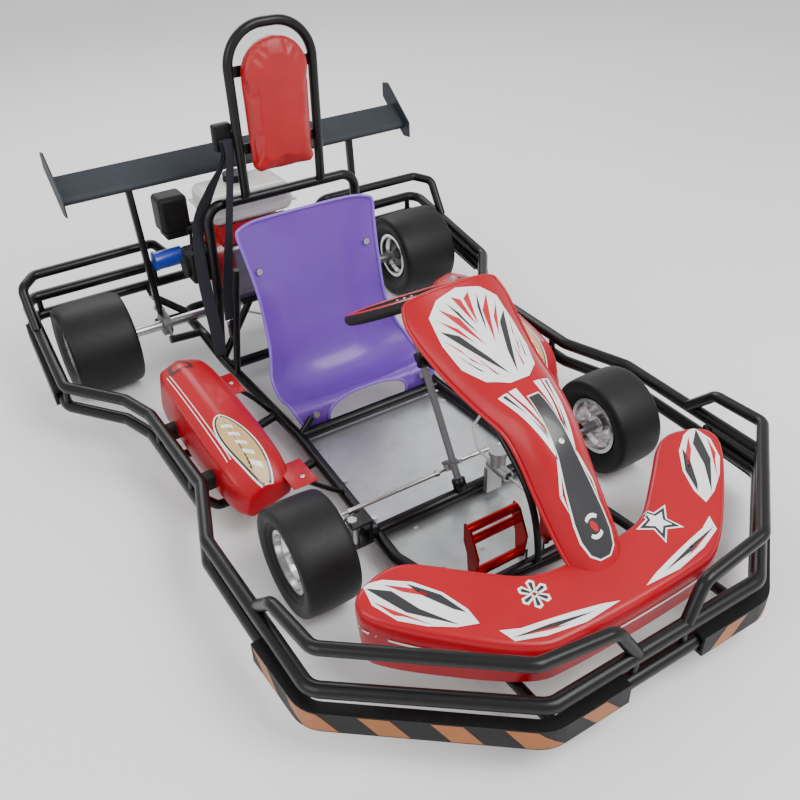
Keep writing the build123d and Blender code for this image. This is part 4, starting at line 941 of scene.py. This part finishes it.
def on_guard(sign, lift):
    """Places a point by its distance along a guard's outer face and its height on it."""

    def place(along, z):
        i, t = run_at(guard_length, along)
        spot = guard_line[i].lerp(guard_line[i + 1], t)
        run = (guard_line[i + 1] - guard_line[i]).normalized()
        spot = spot + Vector((run.y, -run.x)) * (GUARD_HALF_DEPTH + lift)
        return Vector((sign * spot.x, spot.y, GUARD_MIDDLE + z)) * MM

    return place


STRIPE_WIDTH, STRIPE_SLANT, STRIPE_PITCH, STRIPE_HALF = 58, 38, 132, 23
stripe_shapes = []
start = 24
while start < guard_length[-1] - 90:
    end = start + STRIPE_WIDTH
    low_edge = [(start, -STRIPE_HALF), (end, -STRIPE_HALF)]
    high_edge = [(end + STRIPE_SLANT, STRIPE_HALF), (start + STRIPE_SLANT, STRIPE_HALF)]
    stripe_shapes.append(low_edge + high_edge)
    start += STRIPE_PITCH
for side, sign in SIDES:
    decal("hazard_stripes_" + side, stripe_shapes, on_guard(sign, 0.5), orange_film)


# ---- belt webbing -----------------------------------------------------------
def strap(name, points, width):
    """A flat strap that turns a little along its way."""
    rows = []
    stations = smooth_values(points, 8)
    for k, (x, y, z) in enumerate(stations):
        turn = 0.25 + 0.35 * math.sin(k * 0.11)
        across = Vector((math.cos(turn), math.sin(turn), 0)) * width / 2
        rows.append([(Vector((x, y, z)) + across * share) * MM for share in (-1, -0.9, 0, 0.9, 1)])
    made = grid_object(name, rows, webbing_cloth)
    thicken(made, 1.6 * MM, 0.0)
    return made


long_way = [(-150, 562, 735), (-153, 562, 690), (-205, 584, 610), (-252, 590, 520)]
long_way += [(-272, 560, 380), (-275, 520, 240), (-276, 500, 142)]
reel_way = [(-152, 567, 735), (-156, 568, 690), (-196, 600, 590), (-232, 628, 490), (-250, 640, 421)]
hanging_way = [(-146, 556, 735), (-148, 552, 690), (-172, 543, 560), (-196, 536, 440)]
hanging_way += [(-220, 520, 330), (-232, 500, 250)]
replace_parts(strap("belt_long_strap", long_way, 36), "belt_webbing")
strap("belt_retractor_strap", reel_way, 36)
strap("belt_hanging_strap", hanging_way, 34)
rounded_block("belt_tongue", (-247, 494, 196), (-219, 500, 252), chrome, 2)

# ---- tyres ------------------------------------------------------------------
RIM_RADIUS = 70
FRONT_TYRE = (130, 132, 46)
REAR_TYRE = (140, 194, 76)
FRONT_AXLE_Y, REAR_AXLE_Y = -344, 778
FRONT_X, FRONT_FACE_X, REAR_X, REAR_FACE_X = 434, 443, 557, 598


def tyre(name, centre, sign, size, body, replaced):
    """A slick tyre with a square shoulder, and rings moulded on both walls. size: radius,
    width, and half the width between its beads."""
    radius, width, bead = size
    half = width / 2 - 1
    reach = half - bead
    scale = (radius - RIM_RADIUS) / 60
    profile = [(-bead + 1, 70.5), (-bead + 1, 75)]
    # The wall's radii are those of a tyre of 130 mm radius, and grow with this one's.
    for share, level in ((0.0, 76), (0.35, 84), (0.7, 93), (0.93, 103), (1.0, 112)):
        profile.append((-(bead + reach * share), RIM_RADIUS + (level - RIM_RADIUS) * scale))
    crown = [(0.985, 8.5), (0.955, 5.6), (0.9, 3.6), (0.8, 2.2), (0.6, 1.2), (0.3, 0.5), (0.0, 0.3)]
    profile += [(-half * share, radius - drop) for share, drop in crown]
    profile += [(-a, r) for a, r in reversed(profile[:-1])]
    made = lathe(name, [(sign * a, r) for a, r in profile], centre, (1, 0, 0), tyre_rubber, 96, body)
    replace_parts(made, replaced)
    ribs = ((1.0, 0.62, 1.1), (0.75, 0.36, 0.9), (0.4, 0.2, 0.8))
    for index, (place, level, rib) in enumerate(ribs):
        middle = RIM_RADIUS + (radius - RIM_RADIUS) * level
        for wall, face in (("in", -1), ("out", 1)):
            along = face * (bead + reach * place + 0.4 - (1.4 if place == 1.0 else 0))
            ring = [(along, middle - rib), (along + face * 0.8, middle), (along, middle + rib)]
            lathe(f"{name}_rib_{index}_{wall}", ring, centre, (1, 0, 0), tyre_rubber, 72, body)


def rim_bolts(name, middle, circle, sign, body):
    bolt = [(0, 0.2), (0, 5), (3, 5), (4, 4), (4, 0.2)]
    x, y, z = middle
    for k in range(6):
        turn = k * math.pi / 3 + 0.3
        spot = (x, y + circle * math.cos(turn), z + circle * math.sin(turn))
        lathe(f"{name}_{k}", bolt, spot, (sign, 0, 0), bolt_metal, 6, body)


for side, sign in SIDES:
    wheel = "front_wheel_" + side
    centre = (sign * FRONT_X, FRONT_AXLE_Y, FRONT_TYRE[0])
    tyre("front_slick_" + side, centre, sign, FRONT_TYRE, wheel, "front_tyre_" + side)
    rim_bolts("rim_bolt_" + side, (sign * FRONT_FACE_X, *centre[1:]), 52, sign, wheel)
    centre = (sign * REAR_X, REAR_AXLE_Y, REAR_TYRE[0])
    tyre("rear_slick_" + side, centre, sign, REAR_TYRE, "rear_axle", "rear_tyres")
    rim_bolts("rear_rim_bolt_" + side, (sign * REAR_FACE_X, *centre[1:]), 42, sign, "rear_axle")

# ---- steering wheel's red ring and hub --------------------------------------
wheel_centre = Vector((0, -72, 487))
WHEEL_RADIUS, RIM_SKIN = 136, 14.4
ring_profile = []
for k in range(9):
    turn = math.radians(52 + k * 9.5)
    ring_profile.append((RIM_SKIN * math.sin(turn), WHEEL_RADIUS + RIM_SKIN * math.cos(turn)))
# Back under the skin and round to the start again.
ring_profile += [(a - 1.2, WHEEL_RADIUS + (r - WHEEL_RADIUS) * 0.9) for a, r in ring_profile[::-1]]
ring_profile.append(ring_profile[0])
lathe("wheel_red_ring", ring_profile, wheel_centre, column, decal_red, 96, "steering")
hub_cap = [(8, 0.3), (8, 28), (10.5, 31), (12, 29), (13, 24), (13.5, 10), (13.5, 0.3)]
lathe("wheel_hub_cap", hub_cap, wheel_centre - column * 3, column, black_plastic, 48, "steering")
hub_bolt = [(0, 0.2), (0, 3.4), (2, 3.4), (2.8, 2.4), (2.8, 0.2)]
sideways = Vector((1, 0, 0))
for k in range(6):
    turn = k * math.pi / 3
    across = sideways * math.cos(turn) + column.cross(sideways) * math.sin(turn)
    spot = wheel_centre + column * 9.6 + across * 20
    lathe(f"wheel_bolt_{k}", hub_bolt, spot, column, bolt_metal, 6, "steering")

# ---- headrest pad -----------------------------------------------------------
pad_half, pad_low, pad_high = 93, 638, 982
pad_front, pad_back = 517, 552
PAD_SWELL, PAD_STEPS = 9, 20
pad_middle = (pad_low + pad_high) / 2
outline = []
for k in range(25):
    turn = math.pi * k / 24
    outline.append((pad_half * math.cos(turn), pad_high - 90 + 88 * math.sin(turn)))
outline += [(-pad_half + 4, pad_low + 14), (-pad_half + 16, pad_low)]
outline += [(pad_half - 16, pad_low), (pad_half - 4, pad_low + 14)]
pad_bm = bmesh.new()
layers = []
for y, inset in (
    (pad_back, 5),
    (pad_back - 4, 1),
    (pad_back - 12, 0),
    (pad_front + 12, 0),
    (pad_front + 3, 4),
    (pad_front, 12),
):
    layers.append([])
    for x, z in outline:
        distance = math.hypot(x, z - pad_middle)
        share = (distance - inset) / distance
        spot = (x * share * MM, y * MM, (pad_middle + (z - pad_middle) * share) * MM)
        layers[-1].append(pad_bm.verts.new(spot))
bridge(pad_bm, layers)
pad_bm.faces.new(layers[0])
pad_bm.faces.new(layers[-1])
bmesh.ops.recalc_face_normals(pad_bm, faces=pad_bm.faces[:])
pad = add_bmesh("headrest_cushion", pad_bm, pad_vinyl)
remesh = pad.modifiers.new("voxels", "REMESH")
remesh.mode = "VOXEL"
remesh.voxel_size = 0.006
remesh.use_smooth_shade = True
apply_modifiers(pad)
before = [v.co.copy() for v in pad.data.vertices]
pinned = pad.vertex_groups.new(name="held")
pinned.add([v.index for v in pad.data.vertices if v.co.y > (pad_back - 3) * MM], 1.0, "REPLACE")
cloth = pad.modifiers.new("cloth", "CLOTH")
cloth.settings.use_pressure = True
cloth.settings.uniform_pressure_force = 4
cloth.settings.effector_weights.gravity = 0
cloth.settings.quality = 6
cloth.settings.vertex_group_mass = "held"
scene.frame_start = 1
scene.frame_end = PAD_STEPS
for step in range(1, PAD_STEPS + 1):
    scene.frame_set(step)
apply_modifiers(pad)
for vertex, place in zip(pad.data.vertices, before):
    moved = vertex.co - place
    if moved.length > PAD_SWELL * MM:
        vertex.co = place + moved.normalized() * PAD_SWELL * MM
scene.frame_set(1)
round_off = pad.modifiers.new("fine", "SUBSURF")
round_off.levels = 1
round_off.render_levels = 1
apply_modifiers(pad)
pad.data.polygons.foreach_set("use_smooth", [True] * len(pad.data.polygons))
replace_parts(pad, "headrest_pad")

# ---- smooth shading of the CAD nodes ---------------------------------------
for obj in nodes.values():
    if not obj.hide_render:
        obj.data.polygons.foreach_set("use_smooth", [True] * len(obj.data.polygons))
        obj.data.set_sharp_from_angle(angle=math.radians(32))

# ---- stage, light and camera ------------------------------------------------
floor_mesh = bpy.data.meshes.new("floor")
floor_mesh.from_pydata([(-14, -14, 0), (14, -14, 0), (14, 14, 0), (-14, 14, 0)], [], [(0, 1, 2, 3)])
floor = bpy.data.objects.new("floor", floor_mesh)
scene.collection.objects.link(floor)
floor_shader = Shader("floor_paint")
floor_tone = [(0.3, (0.86, 0.86, 0.86)), (0.7, (0.9, 0.9, 0.9))]
floor_shader.colour(floor_shader.ramp(floor_shader.noise(0.6, 2), floor_tone))
floor_shader.set("Roughness", 0.85)
floor_mesh.materials.append(floor_shader.mat)
floor.location.z = -0.0005

world = bpy.data.worlds.new("studio")
world.use_nodes = True
sky = world.node_tree.nodes["Background"]
sky.inputs["Color"].default_value = (1, 1, 1, 1)
sky.inputs["Strength"].default_value = 0.9
scene.world = world


def soft_light(name, place, target, size, power):
    light = bpy.data.lights.new(name, "AREA")
    light.shape = "RECTANGLE"
    light.size, light.size_y = size
    light.energy = power
    holder = bpy.data.objects.new(name, light)
    holder.location = place
    holder.rotation_euler = (Vector(target) - Vector(place)).to_track_quat("-Z", "Y").to_euler()
    scene.collection.objects.link(holder)


soft_light("key", (1.2, -2.6, 3.6), (0, 0, 0.2), (2.4, 2.4), 150)
soft_light("fill", (-3.4, -1.2, 2.4), (0, 0, 0.2), (2.4, 2.4), 60)
soft_light("back", (0.6, 3.4, 3.0), (0, 0.2, 0.2), (3.0, 1.6), 70)

CAMERA_ANGLES = (-31.22, 34.99, -1.89)
CAMERA_TARGET = Vector((-49.21, -113.4, 250)) * MM
CAMERA_DISTANCE = 2.19076
azimuth, elevation, roll = (math.radians(v) for v in CAMERA_ANGLES)
level = math.cos(elevation)
back = Vector((math.sin(azimuth) * level, -math.cos(azimuth) * level, math.sin(elevation)))
right = Vector((0, 0, 1)).cross(back).normalized()
up = back.cross(right)
cos, sin = math.cos(roll), math.sin(roll)
right, up = cos * right + sin * up, -sin * right + cos * up
camera_data = bpy.data.cameras.new("camera")
camera_data.lens = 40.13
camera_data.sensor_width = 36
camera_data.clip_end = 60
camera = bpy.data.objects.new("camera", camera_data)
scene.collection.objects.link(camera)
spot = CAMERA_TARGET + back * CAMERA_DISTANCE
camera.matrix_world = Matrix(
    (
        (right.x, up.x, back.x, spot.x),
        (right.y, up.y, back.y, spot.y),
        (right.z, up.z, back.z, spot.z),
        (0, 0, 0, 1),
    )
)
scene.camera = camera
